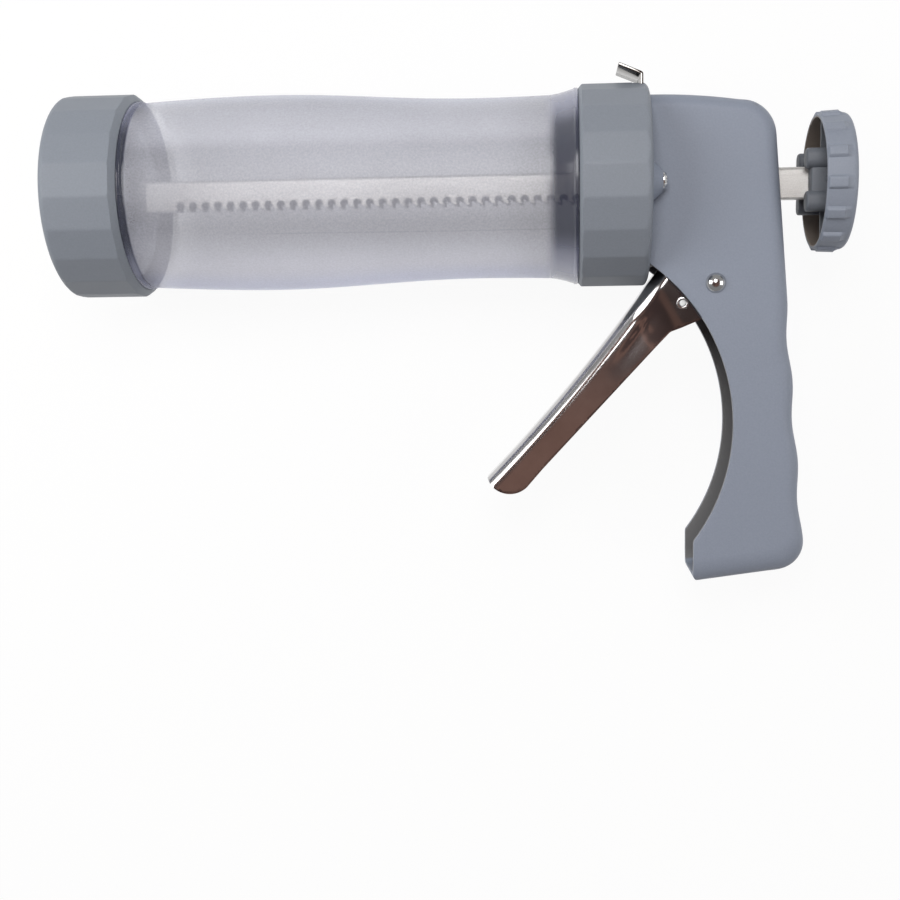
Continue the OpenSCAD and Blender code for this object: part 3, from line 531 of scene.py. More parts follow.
def channelShadeMask(x, y, z):
    # 1 on the channel's inner walls, which get a darker colour as painted shade: between the side walls, well
    # inside the back, the top and the heel
    h, c = handle, channel
    between = 1 - ((z * z) ** 0.5).ease(*c["wall"])
    behind = (h["left"] + h["depth"] - y * h["lean"] - x).ease(*c["back"])
    aboveHeel = (y - h["heelBottom"] + (c["heelX"] - x) * h["heelSlope"]).ease(*c["heel"])
    return between * behind * (1 - y.ease(*c["top"])) * aboveHeel


def handleBack(y):
    # leaning line with finger waves, each one minus cosine over two
    h = handle
    wave = h["waveDepth"] * (1 - np.cos(2 * np.pi * (-y - h["waveStart"]) / h["wavePitch"])) / 2
    inWaves = (y < -h["waveStart"]) & (y > -h["waveStart"] - h["waves"] * h["wavePitch"])
    return h["left"] + h["depth"] - h["lean"] * y - np.where(inWaves, wave, 0)


def handleOutline():
    # top edge, shoulder, back and heel as one line, smoothed by a bell curve of weights, with outward normals
    h = handle
    topX = np.linspace(h["left"], h["left"] + h["depth"] - h["topShort"], h["topRows"])
    heelY = h["heelBottom"] + h["heel"]
    heelX = handleBack(np.array(h["heelBackY"])) - h["heel"]
    backY = np.linspace(h["shoulderY"] + h["backGap"][0], heelY + h["backGap"][1], h["backRows"])
    footX = np.linspace(heelX - h["footIn"], h["toe"], h["bendRows"])
    shoulderX = h["left"] + h["depth"] - h["lean"] * h["shoulderLeanY"] - h["shoulder"]
    line = resampled(np.concatenate([
        np.stack([topX, h["top"] - h["sag"] * (topX - h["left"]) ** 2], -1),
        arc((shoulderX, h["shoulderY"]), h["shoulder"], *h["shoulderSweep"], h["bendRows"]),
        np.stack([handleBack(backY), backY], -1),
        arc((heelX, heelY), h["heel"], *h["heelSweep"], h["bendRows"]),
        np.stack([footX, heelY - h["heel"] - h["heelSlope"] * (heelX - footX)], -1)]), h["spacing"])
    kernel = np.exp(-np.linspace(-2, 2, 9) ** 2)
    padded = np.pad(line, ((4, 4), (0, 0)), "reflect", reflect_type="odd")
    line = np.stack([np.convolve(padded[:, k], kernel / kernel.sum(), "valid") for k in range(2)], -1)
    ahead = np.gradient(line, axis=0)
    ahead /= np.linalg.norm(ahead, axis=1)[:, None]
    normal = np.stack([-ahead[:, 1], ahead[:, 0]], -1)
    normal[0], normal[-1] = (0, 1), (0, -1)
    return line, normal


def openEdge(line, edge):
    # front edge of the side walls, one point for each of the outline: down the ring's plane, round the finger
    # arc, down the toe; lengths along both lines are matched at their ends and where the arc starts and ends
    h = handle
    arcTop, arcLow = [math.degrees(math.asin((h[key] - h["arcCentre"][1]) / h["arcRadius"]))
                      for key in ("arcStart", "toeTop")]
    ringY = np.linspace(line[0, 1] - edge[0], h["arcStart"], h["ringRows"])
    toeY = np.linspace(h["toeTop"] - h["toeDrop"], line[-1, 1] + edge[-1], h["toeRows"])
    front = np.concatenate([
        np.stack([np.full(h["ringRows"], h["left"]), ringY], -1),
        arc(h["arcCentre"], h["arcRadius"], arcTop, arcLow, h["arcRows"]),
        np.stack([np.full(h["toeRows"], h["toe"]), toeY], -1)])
    outer, inner = lengthAlong(line), lengthAlong(front)
    rows = np.arange(len(line))
    high, low = [rows[(line[:, 1] < h[key]) & (line[:, 0] > h["keyX"])][0] for key in ("keyHigh", "keyLow")]
    keys = [0, h["ringRows"] - 1, h["ringRows"] + h["arcRows"], -1]
    at = np.interp(outer, outer[[0, high, low, -1]], inner[keys])
    return np.stack([np.interp(at, inner, front[:, k]) for k in range(2)], -1)


def handleSkin(inset):
    # each row runs from an open edge over its side wall and a quarter ellipse to the back, then mirrored
    h = handle
    line, normal = handleOutline()
    count = len(line)
    edge = h["edgeSide"] + (h["edgeHeel"] - h["edgeSide"]) * smoothStep(-line[:, 1], *h["edgeRange"])
    front = openEdge(line, edge)
    turn = np.radians(np.linspace(90, 0, h["bendCols"]))[None, :]
    depth = inset + (edge[:, None] - inset) * (1 - np.cos(turn))
    bend = line[:, None] - depth[..., None] * normal[:, None]
    lowSide = np.arange(count) > np.argmax(line[:, 0])
    bend[..., 0] = np.maximum(bend[..., 0], np.where(lowSide, h["toe"], h["left"])[:, None])
    share = np.linspace(0, 1, h["wallCols"] + 1)[None, :-1, None]
    wall = front[:, None] + (bend[:, :1] - front[:, None]) * share
    flatHalf = h["halfWidth"] - h["edgeAcross"]
    bendZ = np.repeat(flatHalf + (h["edgeAcross"] - inset) * np.sin(turn), count, 0)
    back = np.repeat(bend[:, -1:], h["backCols"], 1)
    backZ = np.repeat(np.linspace(flatHalf, 0, h["backCols"] + 1)[None, 1:], count, 0)
    wallZ = np.full((count, h["wallCols"]), h["halfWidth"] - inset)
    half = np.concatenate([np.concatenate([wall, bend, back], 1),
                           np.concatenate([wallZ, bendZ, backZ], 1)[..., None]], -1)
    return np.concatenate([half, half[:, -2::-1] * [1, 1, -1]], 1)


def handleShell():
    # outer skin, inner skin and the rim that joins them along all four borders
    outer, inner = handleSkin(0), handleSkin(handle["wall"])
    rows, cols = outer.shape[:2]
    skin = latticeFaces(rows, cols)
    index = np.arange(rows * cols).reshape(rows, cols)
    border = np.concatenate([index[0], index[1:, -1], index[-1, -2::-1], index[-2:0:-1, 0]])
    ahead = np.roll(border, -1)
    offset = rows * cols
    rim = np.stack([border, border + offset, ahead + offset, ahead], -1)
    return np.concatenate([outer, inner]).reshape(-1, 3), [skin, skin[:, ::-1] + offset, rim]


# handle plastic with painted shade on the channel's inner walls
handlePlastic = makeMattPlastic("handlePlastic", (0.23, 0.26, 0.32), channelShadeMask, channel["colour"])
handlePiece = bareObject("handle_shell", [handleShell()], merge=0.06)
toeSpot = np.array([handle["toe"], handleOutline()[0][-1, 1]])
toeRound, past, wide = handle["toeRound"], -2, 20
toeArc = arc(toeSpot + toeRound, toeRound, 270, 180, 9)
toeCorner = np.concatenate([toeSpot + [[past, past], [toeRound, past]], toeArc, toeSpot + [[past, toeRound]]])
cut(handlePiece, prism(toeCorner, -wide, wide, "z"))
bevel(handlePiece, handle["round"], 3, 50)
cut(handlePiece, block(*handle["rodHole"]))
finishPiece(handlePiece, "press", handlePlastic, ["handle_body"], 38)

innerWall = dict(low=[189.5, -25.6, -11.9], high=[192.1, 24.7, 11.9], round=0.4,
                 rodHole=([185, -5.65, -3.1], [195, 5.05, 3.1]))
frontWall = bareObject("handle_front_wall", [block(innerWall["low"], innerWall["high"])])
bevel(frontWall, innerWall["round"], 2)
cut(frontWall, block(*innerWall["rodHole"]))
finishPiece(frontWall, "press", handlePlastic)

boss = dict(y=-0.4, z=17.5, columns=64,
            section=[[189.5, 0, 0], [189.5, 7.2, 0.2], [189.9, 6.4, 1.2], [192.9, 3.6, 0.6],
                     [193.2, 3.0, 0.2], [193.2, 1.4, 0.1], [191.5, 1.4, 0.1], [191.5, 0, 0]])
bossProfile = rounded(boss["section"])
bossPiece = bareObject("screw_bosses", [lathe(bossProfile, boss["columns"], None, False, (boss["y"], z))
                                        for z in (-boss["z"], boss["z"])])
finishPiece(bossPiece, "press", handlePlastic)

toothedSteel = dict(
    pitted=(0.42, 0.41, 0.39), bright=(0.76, 0.75, 0.73), dark=(0.012, 0.012, 0.012), metallic=0.35,
    tone=0.62, pit=2.6, pitTone=1.1, pitRough=0.3, hole=(0.64, 0.72), holeTone=0.6, line=1.2,
    lineWay=(0.15, 2.0, 2.0), lineTone=0.5, roughness=0.40, smoothest=0.05, bump=0.30, depth=0.05,
    firstRoot=36.9, pitch=4.2, rootY=-3.7, rootSpread=(1.0, 1.75), teeth=(35.0, 209.5, 0.5),
    crest=(-5.2, -4.4), crestShare=0.5, upper=(3.7, 4.5), upperPits=(0.35, 0.65), upperEnd=(205, 214),
    edgeDarkPits=0.4, edgeDarkness=0.3, lineBump=0.6, dullStart=(88, 118), dullEnd=(170, 185), dull=0.35)


def makeRodSteel(name, s=toothedSteel):
    # burnished nickel with sparse pits; painted shade and grease sit round a point in the root of each tooth,
    # found from the part of the pitch that is left over, and darken towards the tooth tips; a darker dotted
    # line runs along the upper edge
    material, wire, spot, (x, y, _) = startMaterial(name)
    pits = noise(wire, spot, s["pit"], 4.0, 0.72)
    drawn = noise(wire, spot, s["line"], 3.0, 0.6, s["lineWay"])
    along = (x.maths("FRACT", (x - s["firstRoot"]) / s["pitch"] + 0.5, 0.0) - 0.5) * s["pitch"]
    reach = (along * along + (y - s["rootY"]) ** 2.0) ** 0.5
    # painted shade and grease round each tooth's root and towards the tooth tips
    rootShadeAndGrease = 1 - reach.ease(*s["rootSpread"]) + (1 - y.ease(*s["crest"])) * s["crestShare"]
    rootShadeAndGrease = rootShadeAndGrease.smaller(1.0) * x.between(*s["teeth"])
    # a darker dotted line along the upper edge, ending before the knob
    edgeDarkness = pits.ease(*s["upperPits"]) * s["edgeDarkPits"] + s["edgeDarkness"]
    upperEdgeDark = y.ease(*s["upper"]) * edgeDarkness * (1 - x.ease(*s["upperEnd"]))
    dull = x.ease(*s["dullStart"]) * (1 - x.ease(*s["dullEnd"])) * s["dull"]
    holes = pits.ease(*s["hole"]) * s["holeTone"]
    worn = s["tone"] + pits.swing(s["pitTone"]) + drawn.swing(s["lineTone"]) - dull - holes
    nickel = worn.blend(opaque(s["pitted"]), opaque(s["bright"]))
    paint = rootShadeAndGrease.larger(upperEdgeDark).blend(nickel, opaque(s["dark"]))
    roughness = (s["roughness"] + pits.swing(s["pitRough"])).larger(s["smoothest"])
    normal = bumpOf(wire, drawn * s["lineBump"] - holes, s["bump"], s["depth"])
    return endMaterial(material, wire, paint, roughness, normal, {"Metallic": s["metallic"]})


# the rod: tooth is [place along the pitch, share of the depth] for each corner of a tooth
rodShape = dict(start=14.5, end=247.4, top=4.7, low=-5.3, half=2.75, round=1.4, lowEdge=0.35, pitch=4.2,
                depth=1.8, first=36.4, teeth=41, plainFrom=238.0,
                tooth=[[0, 0], [0.02, 1], [0.5, 1], [0.56, 0.99], [3.216, 0.02], [3.276, 0], [4.0, 0]])


def rodSurface():
    # one section for each corner of the teeth: round upper edges, and a lower edge that follows the teeth
    r = rodShape
    tooth = np.array(r["tooth"])
    starts = r["first"] + r["pitch"] * np.arange(r["teeth"])
    corners = (starts[:, None] + tooth[:, 0]).ravel()
    stations = np.concatenate([[r["start"]], corners, [r["plainFrom"], r["end"]]])
    low = np.concatenate([[0], np.tile(tooth[:, 1] * r["depth"], r["teeth"]), [0, 0]]) + r["low"]
    corner = arc((r["half"] - r["round"], r["top"] - r["round"]), r["round"], 0, 90, 7)
    upper = np.concatenate([corner, corner[::-1] * [-1, 1]])
    count = len(stations)
    inward = r["half"] - r["lowEdge"]
    z = np.concatenate([[inward, r["half"]], upper[:, 0], [-r["half"], -inward]])
    y = np.repeat(np.concatenate([[0, 0], upper[:, 1], [0, 0]])[None], count, 0)
    y[:, [0, -1]] = low[:, None]
    y[:, [1, -2]] = low[:, None] + r["lowEdge"]
    x = np.repeat(stations[:, None], len(z), 1)
    points = np.stack([x, y, np.repeat(z[None], count, 0)], -1).reshape(-1, 3)
    caps = np.arange(len(z)) + [[0], [(count - 1) * len(z)]]
    return points, [latticeFaces(count, len(z), False, True), caps]


rodPiece = bareObject("toothed_rod", [rodSurface()], merge=0.001)
finishPiece(rodPiece, "plunger", makeRodSteel("rodSteel"), ["rod"], 30)

# the knob: padStart and padStop are where a pad rises and falls, from the rim and from the pad's end
knob = dict(front=238.5, rim=242.4, back=252.4, radius=21.1, pads=14, padWidth=3.5, padLength=6.0,
            padHeight=1.0, padClock=0.25, padSide=(-0.45, 0.35), padStart=(0.1, 0.7), padStop=(-0.2, 0.6),
            skin=0.45, bulge=21.38, floor=250.9, hub=19.6, post=6.3, postRound=2.4, core=16.4, coreIn=1.6,
            coreRound=0.6, hubRound=0.8, rib=1.2, ribRound=0.2, ribIn=2, ribInner=7.6, ribOuter=20.55,
            columns=448)
# painted warm shade inside the knob's cup: its colour, and the radius and floor where it starts
cup = dict(colour=(0.27, 0.225, 0.19), radius=(20.1, 20.6), floor=(250.3, 250.8))


def cupShadeMask(x, y, z):
    # 1 inside the knob's cup, where a warm painted shade goes
    return (1 - ((y * y + z * z) ** 0.5).ease(*cup["radius"])) * (1 - x.ease(*cup["floor"]))


def knobPads(place, radius, turn):
    # raises the outer wall in rounded rectangles: smooth steps across times smooth steps along each pad
    k = knob
    step = 2 * np.pi / k["pads"]
    away = np.abs((-turn - k["padClock"] * step + step / 2) % step - step / 2) * k["radius"]
    across = 1 - smoothStep(away, *(k["padWidth"] / 2 + np.array(k["padSide"])))
    along = smoothStep(place, *(k["rim"] + np.array(k["padStart"])))
    along = along * (1 - smoothStep(place, *(k["rim"] + k["padLength"] + np.array(k["padStop"]))))
    return radius + k["padHeight"] * across * along * (radius > k["radius"] - k["skin"])


sideX = np.linspace(knob["rim"] + 0.45, knob["rim"] + 6.0, 36)
knobProfile = np.concatenate([
    rounded([[knob["back"], 0, 0], [knob["back"] - 0.1, 9.0, 30], [knob["back"] - 0.6, 21.4, 3.2],
             [sideX[-1] + 0.1, knob["bulge"], 0]], 10),
    np.stack([sideX, np.linspace(21.12, knob["bulge"], 36)], -1)[::-1],
    rounded([[knob["rim"] + 0.4, 21.1, 0], [knob["rim"], 20.95, 0.3], [knob["rim"], 20.0, 0.3],
             [knob["back"] - 3.6, 20.0, 1.0], [knob["back"] - 2.2, 18.6, 0.8],
             [knob["back"] - 2.0, 0, 0]], 5)])
knobCup = bareObject("knob_cup", [lathe(knobProfile, knob["columns"], knobPads)])
# knob plastic with painted shade inside its cup
knobPlastic = makeMattPlastic("knobPlastic", (0.235, 0.262, 0.315), cupShadeMask, cup["colour"])
finishPiece(knobCup, "plunger", knobPlastic, ["knob"], 40)


def squareBar(width, height, radius, centre, start):
    # bar with round corners along x, from the start to the floor of the knob's cup
    w, h = width / 2, height / 2
    corners = rounded([[-w, -h, radius], [w, -h, radius], [w, h, radius], [-w, h, radius]], 5, True)
    return prism(corners + np.asarray(centre), start, knob["floor"])


# a darker copy of the knob's plastic: painted shade on the hub and ribs inside the cup
shadedHubPlastic = makeMattPlastic("shadedHubPlastic", (0.125, 0.138, 0.16))
postShift = (knob["hub"] - knob["post"]) / 2
hubParts = [squareBar(knob["post"], knob["post"], knob["postRound"], (y, z), knob["front"])
            for y in (-postShift, postShift) for z in (-postShift, postShift)]
coreStart = knob["front"] + knob["coreIn"]
hubParts.append(squareBar(knob["core"], knob["core"], knob["coreRound"], (0, 0), coreStart))
hubPiece = bareObject("knob_hub", hubParts)
bevel(hubPiece, knob["hubRound"], 4, 50)
finishPiece(hubPiece, "plunger", shadedHubPlastic)

ribLong = knob["ribOuter"] - knob["ribInner"]
ribMiddle = (knob["ribOuter"] + knob["ribInner"]) / 2
ribPlan = [(ribLong, knob["rib"], (side * ribMiddle, 0)) for side in (-1, 1)]
ribPlan += [(knob["rib"], ribLong, (0, side * ribMiddle)) for side in (-1, 1)]
ribStart = knob["rim"] + knob["ribIn"]
ribPiece = bareObject("knob_ribs", [squareBar(width, height, knob["ribRound"], centre, ribStart)
                                    for width, height, centre in ribPlan])
finishPiece(ribPiece, "plunger", shadedHubPlastic)

# the trigger: points of its side view, half widths of channel and flanges, the step between them, its scoop,
# and the range and strength of a painted dark reflection past the step
lever = dict(topEdge=(189.1, -32.0), tipEdge=(136.6, -94.7), bow=1.5, half=8.8, corner=4.6, sheet=1.0,
             tipCentre=(144.9, -90.9), tipRadius=8.0, pivot=(210.0, -31.9), flangeHalf=10.9,
             rearLow=(155.6, -90.7), rearTop=(197.9, -46.1), flangeLow=(205.3, -43.4), stud=(200.1, -37.9),
             studHole=1.35, pawl=(212.865, -15.651), pawlRound=3.6, pivotRound=7.6, rows=150, spacing=1.0,
             step=(192.6, -41.5), stepWay=(0.865, 0.502), stepRange=(-8.0, 5.5), darkReflectionRange=(-3.5, 5.0),
             darkReflection=0.8, scoopTop=(190.4, -40.0), scoopLow=(178.0, -63.0), scoopWide=3.2, scoop=0.38,
             scoopIn=(-0.12, 0.15), scoopOut=(0.35, 1.0), scoopFront=(0.2, 2.5), skirt=0.5, topPast=0.75,
             shoulder=(6.6, 3.4), armFoot=(-8.6, 9.5), armSweep=(180, 0), pivotSweep=(20, -40), tipStart=314,
             rearInner=(-1.6, -0.9, 2.5), rearOuter=(1.9, 0.4, 2.0), sideSpacing=1.2, round=0.22)
topEdge, tipEdge = np.array(lever["topEdge"]), np.array(lever["tipEdge"])
chord = topEdge - tipEdge
chordLength = np.linalg.norm(chord)
bowRadius = chordLength ** 2 / (8 * lever["bow"]) + lever["bow"] / 2
toRear = np.array([chord[1], -chord[0]]) / chordLength
bowCentre = (topEdge + tipEdge) / 2 - (bowRadius - lever["bow"]) * toRear
topAngle = math.atan2(*(topEdge - bowCentre)[::-1])


def flangeDarkReflection(x, y, z):
    # painted dark reflection on the trigger, from its step up to the pivot: distance from the step along its
    # direction
    e = lever
    beyond = (x - e["step"][0]) * e["stepWay"][0] + (y - e["step"][1]) * e["stepWay"][1]
    return beyond.ease(*e["darkReflectionRange"]) * e["darkReflection"]


def flankHeight(spots):
    # distance of the flank from the middle plane: a smooth step out to the flanges, less a leaf-shaped scoop,
    # which is a bell curve across its line times smooth steps along it
    e = lever
    rise = smoothStep((spots - e["step"]) @ np.array(e["stepWay"]), *e["stepRange"])
    start = np.array(e["scoopTop"])
    length = np.linalg.norm(e["scoopLow"] - start)
    along = (e["scoopLow"] - start) / length
    run = (spots - start) @ along / length
    off = (spots - start) @ np.array([-along[1], along[0]])
    leaf = np.exp(-(off / e["scoopWide"]) ** 2)
    leaf = leaf * smoothStep(run, *e["scoopIn"]) * (1 - smoothStep(run, *e["scoopOut"]))
    fromFront = np.linalg.norm(spots - bowCentre, axis=1) - bowRadius - e["corner"]
    return (e["half"] + (e["flangeHalf"] - e["half"]) * rise
            - e["scoop"] * leaf * smoothStep(fromFront, *e["scoopFront"]))


def frontBand():
    # the pressed front: for each depth of its rounded corner, an arc round the bow's centre, from where it
    # meets the tip's circle, found with the cosine rule, to the top
    e = lever
    turn = np.radians(np.linspace(90, 0, 17))
    bend = np.stack([e["corner"] * (1 - np.cos(turn)), e["half"] - e["corner"] * (1 - np.sin(turn))], -1)
    side = np.concatenate([[[e["corner"] + e["skirt"], e["half"]]], bend])
    flat = np.stack([np.zeros(4), np.linspace(e["half"] - e["corner"], 0, 5)[1:]], -1)
    section = np.concatenate([side, flat, (flat * [1, -1])[-2::-1], (side * [1, -1])[::-1]])
    radius = bowRadius + section[:, 0]
    toTip = np.array(e["tipCentre"]) - bowCentre
    far, heading = np.linalg.norm(toTip), math.atan2(toTip[1], toTip[0])
    cosine = (radius ** 2 + far ** 2 - e["tipRadius"] ** 2) / (2 * radius * far)
    start = heading - np.arccos(np.clip(cosine, -1, 1))
    share = np.linspace(0, 1, e["rows"])[:, None]
    angle = start[None] + (topAngle + math.radians(e["topPast"]) - start[None]) * share
    spots = np.stack([bowCentre[0] + radius * np.cos(angle), bowCentre[1] + radius * np.sin(angle)], -1)
    wider = flankHeight(spots.reshape(-1, 2)).reshape(angle.shape) / e["half"]
    return np.concatenate([spots, (section[None, :, 1] * wider)[..., None]], -1)


def flankSheet(border, hole, holeRadius, spacing, borderGap=0.6, holeGap=0.5, slack=0.97):
    # flat sheet of triangles: the border, a round hole, and a square grid of points that keeps away from both
    following = np.roll(border, -1, 0)
    edges = following - border

    def inside(spots):
        # odd count of the border's edges that a ray towards +x crosses
        dy = spots[:, None, 1] - border[None, :, 1]
        crosses = (dy >= 0) != (spots[:, None, 1] >= following[None, :, 1])
        slope = np.where(edges[:, 1] == 0, 1e-9, edges[:, 1])
        meets = border[None, :, 0] + dy * edges[None, :, 0] / slope
        return (crosses & (spots[:, None, 0] < meets)).sum(1) % 2 == 1

    low, high = border.min(0), border.max(0)
    grid = np.stack(np.meshgrid(np.arange(low[0], high[0], spacing), np.arange(low[1], high[1], spacing)), -1)
    grid = grid.reshape(-1, 2)
    toBorder = np.linalg.norm(grid[:, None] - border[None], axis=-1).min(1)
    toHole = np.linalg.norm(grid - hole, axis=1) - holeRadius
    clear = inside(grid) & (toBorder > spacing * borderGap) & (toHole > spacing * holeGap)
    holeRim = arc(hole, holeRadius, 0, 360, 25)[:-1]
    outer, inner = np.arange(len(border)), np.arange(len(holeRim)) + len(border)
    rimEdges = np.concatenate([np.stack([loop, np.roll(loop, -1)], -1) for loop in (outer, inner)])
    flat = np.concatenate([border, holeRim, grid[clear]])
    made = delaunay_2d_cdt(flat.tolist(), rimEdges.tolist(), [], 0, 1e-7)
    spots, faces = np.array(made[0]), np.array(made[2])
    middle = spots[faces].mean(1)
    kept = inside(middle) & (np.linalg.norm(middle - hole, axis=1) > holeRadius * slack)
    return spots, faces[kept]


def spacedBorder(border, spacing):
    # long sides get points of their own: each side is split into equal pieces of about the spacing
    step = np.roll(border, -1, 0) - border
    pieces = np.maximum(1, (np.linalg.norm(step, axis=1) / spacing).astype(int))
    side = np.repeat(np.arange(len(border)), pieces)
    number = np.arange(len(side)) - np.repeat(np.cumsum(pieces) - pieces, pieces)
    return border[side] + step[side] * number[:, None] / pieces[side, None]


def triggerParts():
    # the flat side view lifted to the flank's height on both sides, and the front band between them
    e = lever
    band = frontBand()
    frontLine = band[:, 0, :2]
    pivot, rearTop = np.array(e["pivot"]), np.array(e["rearTop"])
    tipAngle = math.degrees(math.atan2(*(frontLine[0] - e["tipCentre"])[::-1])) % 360
    inner, outer = np.array([e["rearInner"], e["rearOuter"]]) + [*rearTop, 0]
    corner = rounded([[*e["rearLow"], 0], inner, outer, [*e["flangeLow"], 0]], 6)
    border = np.concatenate([
        frontLine, [topEdge + e["shoulder"]], [pivot + e["armFoot"]],
        arc(e["pawl"], e["pawlRound"], *e["armSweep"], 16), arc(pivot, e["pivotRound"], *e["pivotSweep"], 14),
        corner[::-1], arc(e["tipCentre"], e["tipRadius"], e["tipStart"], tipAngle, 26)[:-1]])
    border = spacedBorder(border, e["sideSpacing"])
    spots, faces = flankSheet(border, e["stud"], e["studHole"], e["spacing"])
    near = np.hstack([spots, flankHeight(spots)[:, None]])
    return [(near, [faces]), (near * [1, 1, -1], [faces[:, ::-1]]),
            (band.reshape(-1, 3), [latticeFaces(*band.shape[:2])])]


def turnedOutwards(obj, outside):
    # flips an open shell whose face nearest to the point outside looks away from it
    spot = np.asarray(outside) / mmPerMetre + axisPoint
    faces = obj.data.polygons
    centres, normals = np.empty((2, len(faces), 3))
    faces.foreach_get("center", centres.ravel())
    faces.foreach_get("normal", normals.ravel())
    nearest = np.argmin(np.linalg.norm(centres - spot, axis=1))
    if normals[nearest] @ (spot - centres[nearest]) < 0:
        obj.data.flip_normals()


# a scratch direction for the stamped trigger that draws its lines out evenly into soft clouds
stampedSteel = dict(platedSteel, lineWay=(0.07, 0.07, 0.07))
# stamped trigger steel, darker from the step to the pivot as a painted dark reflection
triggerSteel = makeMetal("triggerSteel", (0.57, 0.56, 0.56), 0.12, scratch=0.004, cloud=1.5,
                         darkReflection=flangeDarkReflection, s=stampedSteel)
triggerPiece = bareObject("pressed_trigger", triggerParts(), merge=0.02)
turnedOutwards(triggerPiece, [150, -50, 0])
thicken(triggerPiece, lever["sheet"])
bevel(triggerPiece, lever["round"], 2, 60)
finishPiece(triggerPiece, "trigger", triggerSteel, ["trigger"], 35)

eyelet = dict(columns=48, flared=[[9.0, 1.0, 0], [11.0, 1.0, 0.3], [11.35, 1.25, 0.3], [11.3, 1.95, 0.25],
                                  [10.9, 1.95, 0.1], [10.9, 1.38, 0.1], [9.0, 1.38, 0]],
              shank=[[-9.1, 1.0], [9.1, 1.0], [9.1, 1.38], [-9.1, 1.38]])
flared = rounded(eyelet["flared"], 5, True)
eyeletParts = [lathe(profile, eyelet["columns"], None, True, lever["stud"], "z")
               for profile in (flared * [-1, 1], flared, eyelet["shank"])]
finishPiece(bareObject("tubular_rivet", eyeletParts), "trigger", chromeSteel, ["trigger_rivet"])

# the domed head is a cap of the ball that has its height and width
domed = dict(half=14.0, high=2.0, wide=3.2, neck=3.15, shank=2.5, inset=0.1, columns=72)
ball = (domed["wide"] ** 2 + domed["high"] ** 2) / (2 * domed["high"])
domeAngles = np.radians(np.linspace(0, math.degrees(math.asin(domed["wide"] / ball)), 18))
domeX = domed["half"] + domed["high"] - ball * (1 - np.cos(domeAngles))
dome = np.stack([domeX, ball * np.sin(domeAngles)], -1)
headFoot = np.array([[domed["half"], domed["neck"]], [domed["half"] - domed["inset"], domed["shank"]]])
headLine = np.concatenate([dome, headFoot])
rivetProfile = np.concatenate([headLine, headLine[::-1] * [-1, 1]])
rivetPart = lathe(rivetProfile, domed["columns"], None, False, lever["pivot"], "z")
finishPiece(bareObject("domed_rivet", [rivetPart]), "press", chromeSteel, ["pivot_rivet"], 50)

pivotSpring = dict(centre=lever["pivot"], radius=4.9, wire=0.6, start=-72, end=1700, steps=240, low=-4.5,
                   high=4.5, gap=0.4, legIn=11, legOut=18.0, legSteps=(20, 30))
pawlSpring = dict(centre=lever["pawl"], radius=3.95, wire=0.35, start=200, end=1280, steps=150, low=3.6,
                  high=8.1, gap=0.3, legIn=4, legOut=5, legSteps=(10, 12))


def leggedSpring(s):
    # wire along a screw line round its centre, with a straight leg at each end that carries on its direction
    angle = np.radians(np.linspace(s["start"], s["end"], s["steps"]))
    sine, cosine = np.sin(angle), np.cos(angle)
    coil = np.stack([s["centre"][0] + s["radius"] * cosine, s["centre"][1] + s["radius"] * sine,
                     np.linspace(s["low"], s["high"], s["steps"])], -1)
    ahead = np.stack([-sine, cosine, np.zeros(s["steps"])], -1)
    legIn = coil[0] - np.linspace(s["legIn"], s["gap"], s["legSteps"][0])[:, None] * ahead[0]
    legOut = coil[-1] + np.linspace(s["gap"], s["legOut"], s["legSteps"][1])[:, None] * ahead[-1]
    return tube(np.concatenate([legIn, coil, legOut]), s["wire"], (0, 0, 1))


for springName, spring, node in (("torsion_spring", pivotSpring, "trigger_spring"),
                                 ("pawl_coil", pawlSpring, "pawl_spring")):
    springPiece = bareObject(springName, [leggedSpring(spring)])
    finishPiece(springPiece, "trigger", springSteel, [node])

# release plate with its thumb tab: tilt is the tab's angle from upright, in degrees
release = dict(front=186.9, thick=1.0, low=-14.0, bend=34.4, bendIn=0.62, tilt=67.0, tab=8.2, width=17.0,
               round=0.18, window=([185, -5.6, -3.1], [190, 7.5, 3.1]))
tilt = math.radians(release["tilt"])
bendSpot = np.array([release["front"] + release["thick"], release["bend"]])
tipSpot = bendSpot + np.array([-math.sin(tilt), math.cos(tilt)]) * release["tab"]
tipInner = tipSpot - release["thick"] * np.array([math.cos(tilt), math.sin(tilt)])
plateOutline = rounded([
    [release["front"], release["low"], 0.2], [bendSpot[0], release["low"], 0.2], [*bendSpot, 1.1],
    [*tipSpot, 0.25], [*tipInner, 0.25],
    [release["front"], release["bend"] - release["bendIn"], 0.4]], 6, True)
plateHalf = release["width"] / 2
platePiece = bareObject("thumb_plate", [prism(plateOutline, -plateHalf, plateHalf, "z")])
bevel(platePiece, release["round"], 2, 60)
cut(platePiece, block(*release["window"]))
plateSteel = makeMetal("plateSteel", (0.21, 0.20, 0.19), 0.14, smudge=0.10, speckle=0.05)
finishPiece(platePiece, "release", plateSteel, ["release_plate"], 40)

# coil under the plate, from the floor of its pocket to the top of the CAD spring
returnCoil = dict(wire=0.25, turns=6, travel=2.2, turnSteps=24)
coilLow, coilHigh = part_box("release_spring")
coilFloor, coilTop = [(end.y - axisPoint[1]) * mmPerMetre for end in (coilLow, coilHigh)]
coilRadius = (coilHigh.z - coilLow.z) * mmPerMetre / 2 - returnCoil["wire"]
coilX = release["front"] + release["thick"] / 2
coilTurn = np.linspace(0, 2 * np.pi * returnCoil["turns"], returnCoil["turns"] * returnCoil["turnSteps"] + 1)
coilY = np.linspace(coilFloor + returnCoil["wire"], coilTop - returnCoil["wire"], len(coilTurn))
coilPath = np.stack([coilX + coilRadius * np.cos(coilTurn), coilY, coilRadius * np.sin(coilTurn)], -1)
coilPiece = bareObject("release_coil", [tube(coilPath, returnCoil["wire"], (0, 1, 0))])
finishPiece(coilPiece, "press", springSteel, ["release_spring"])
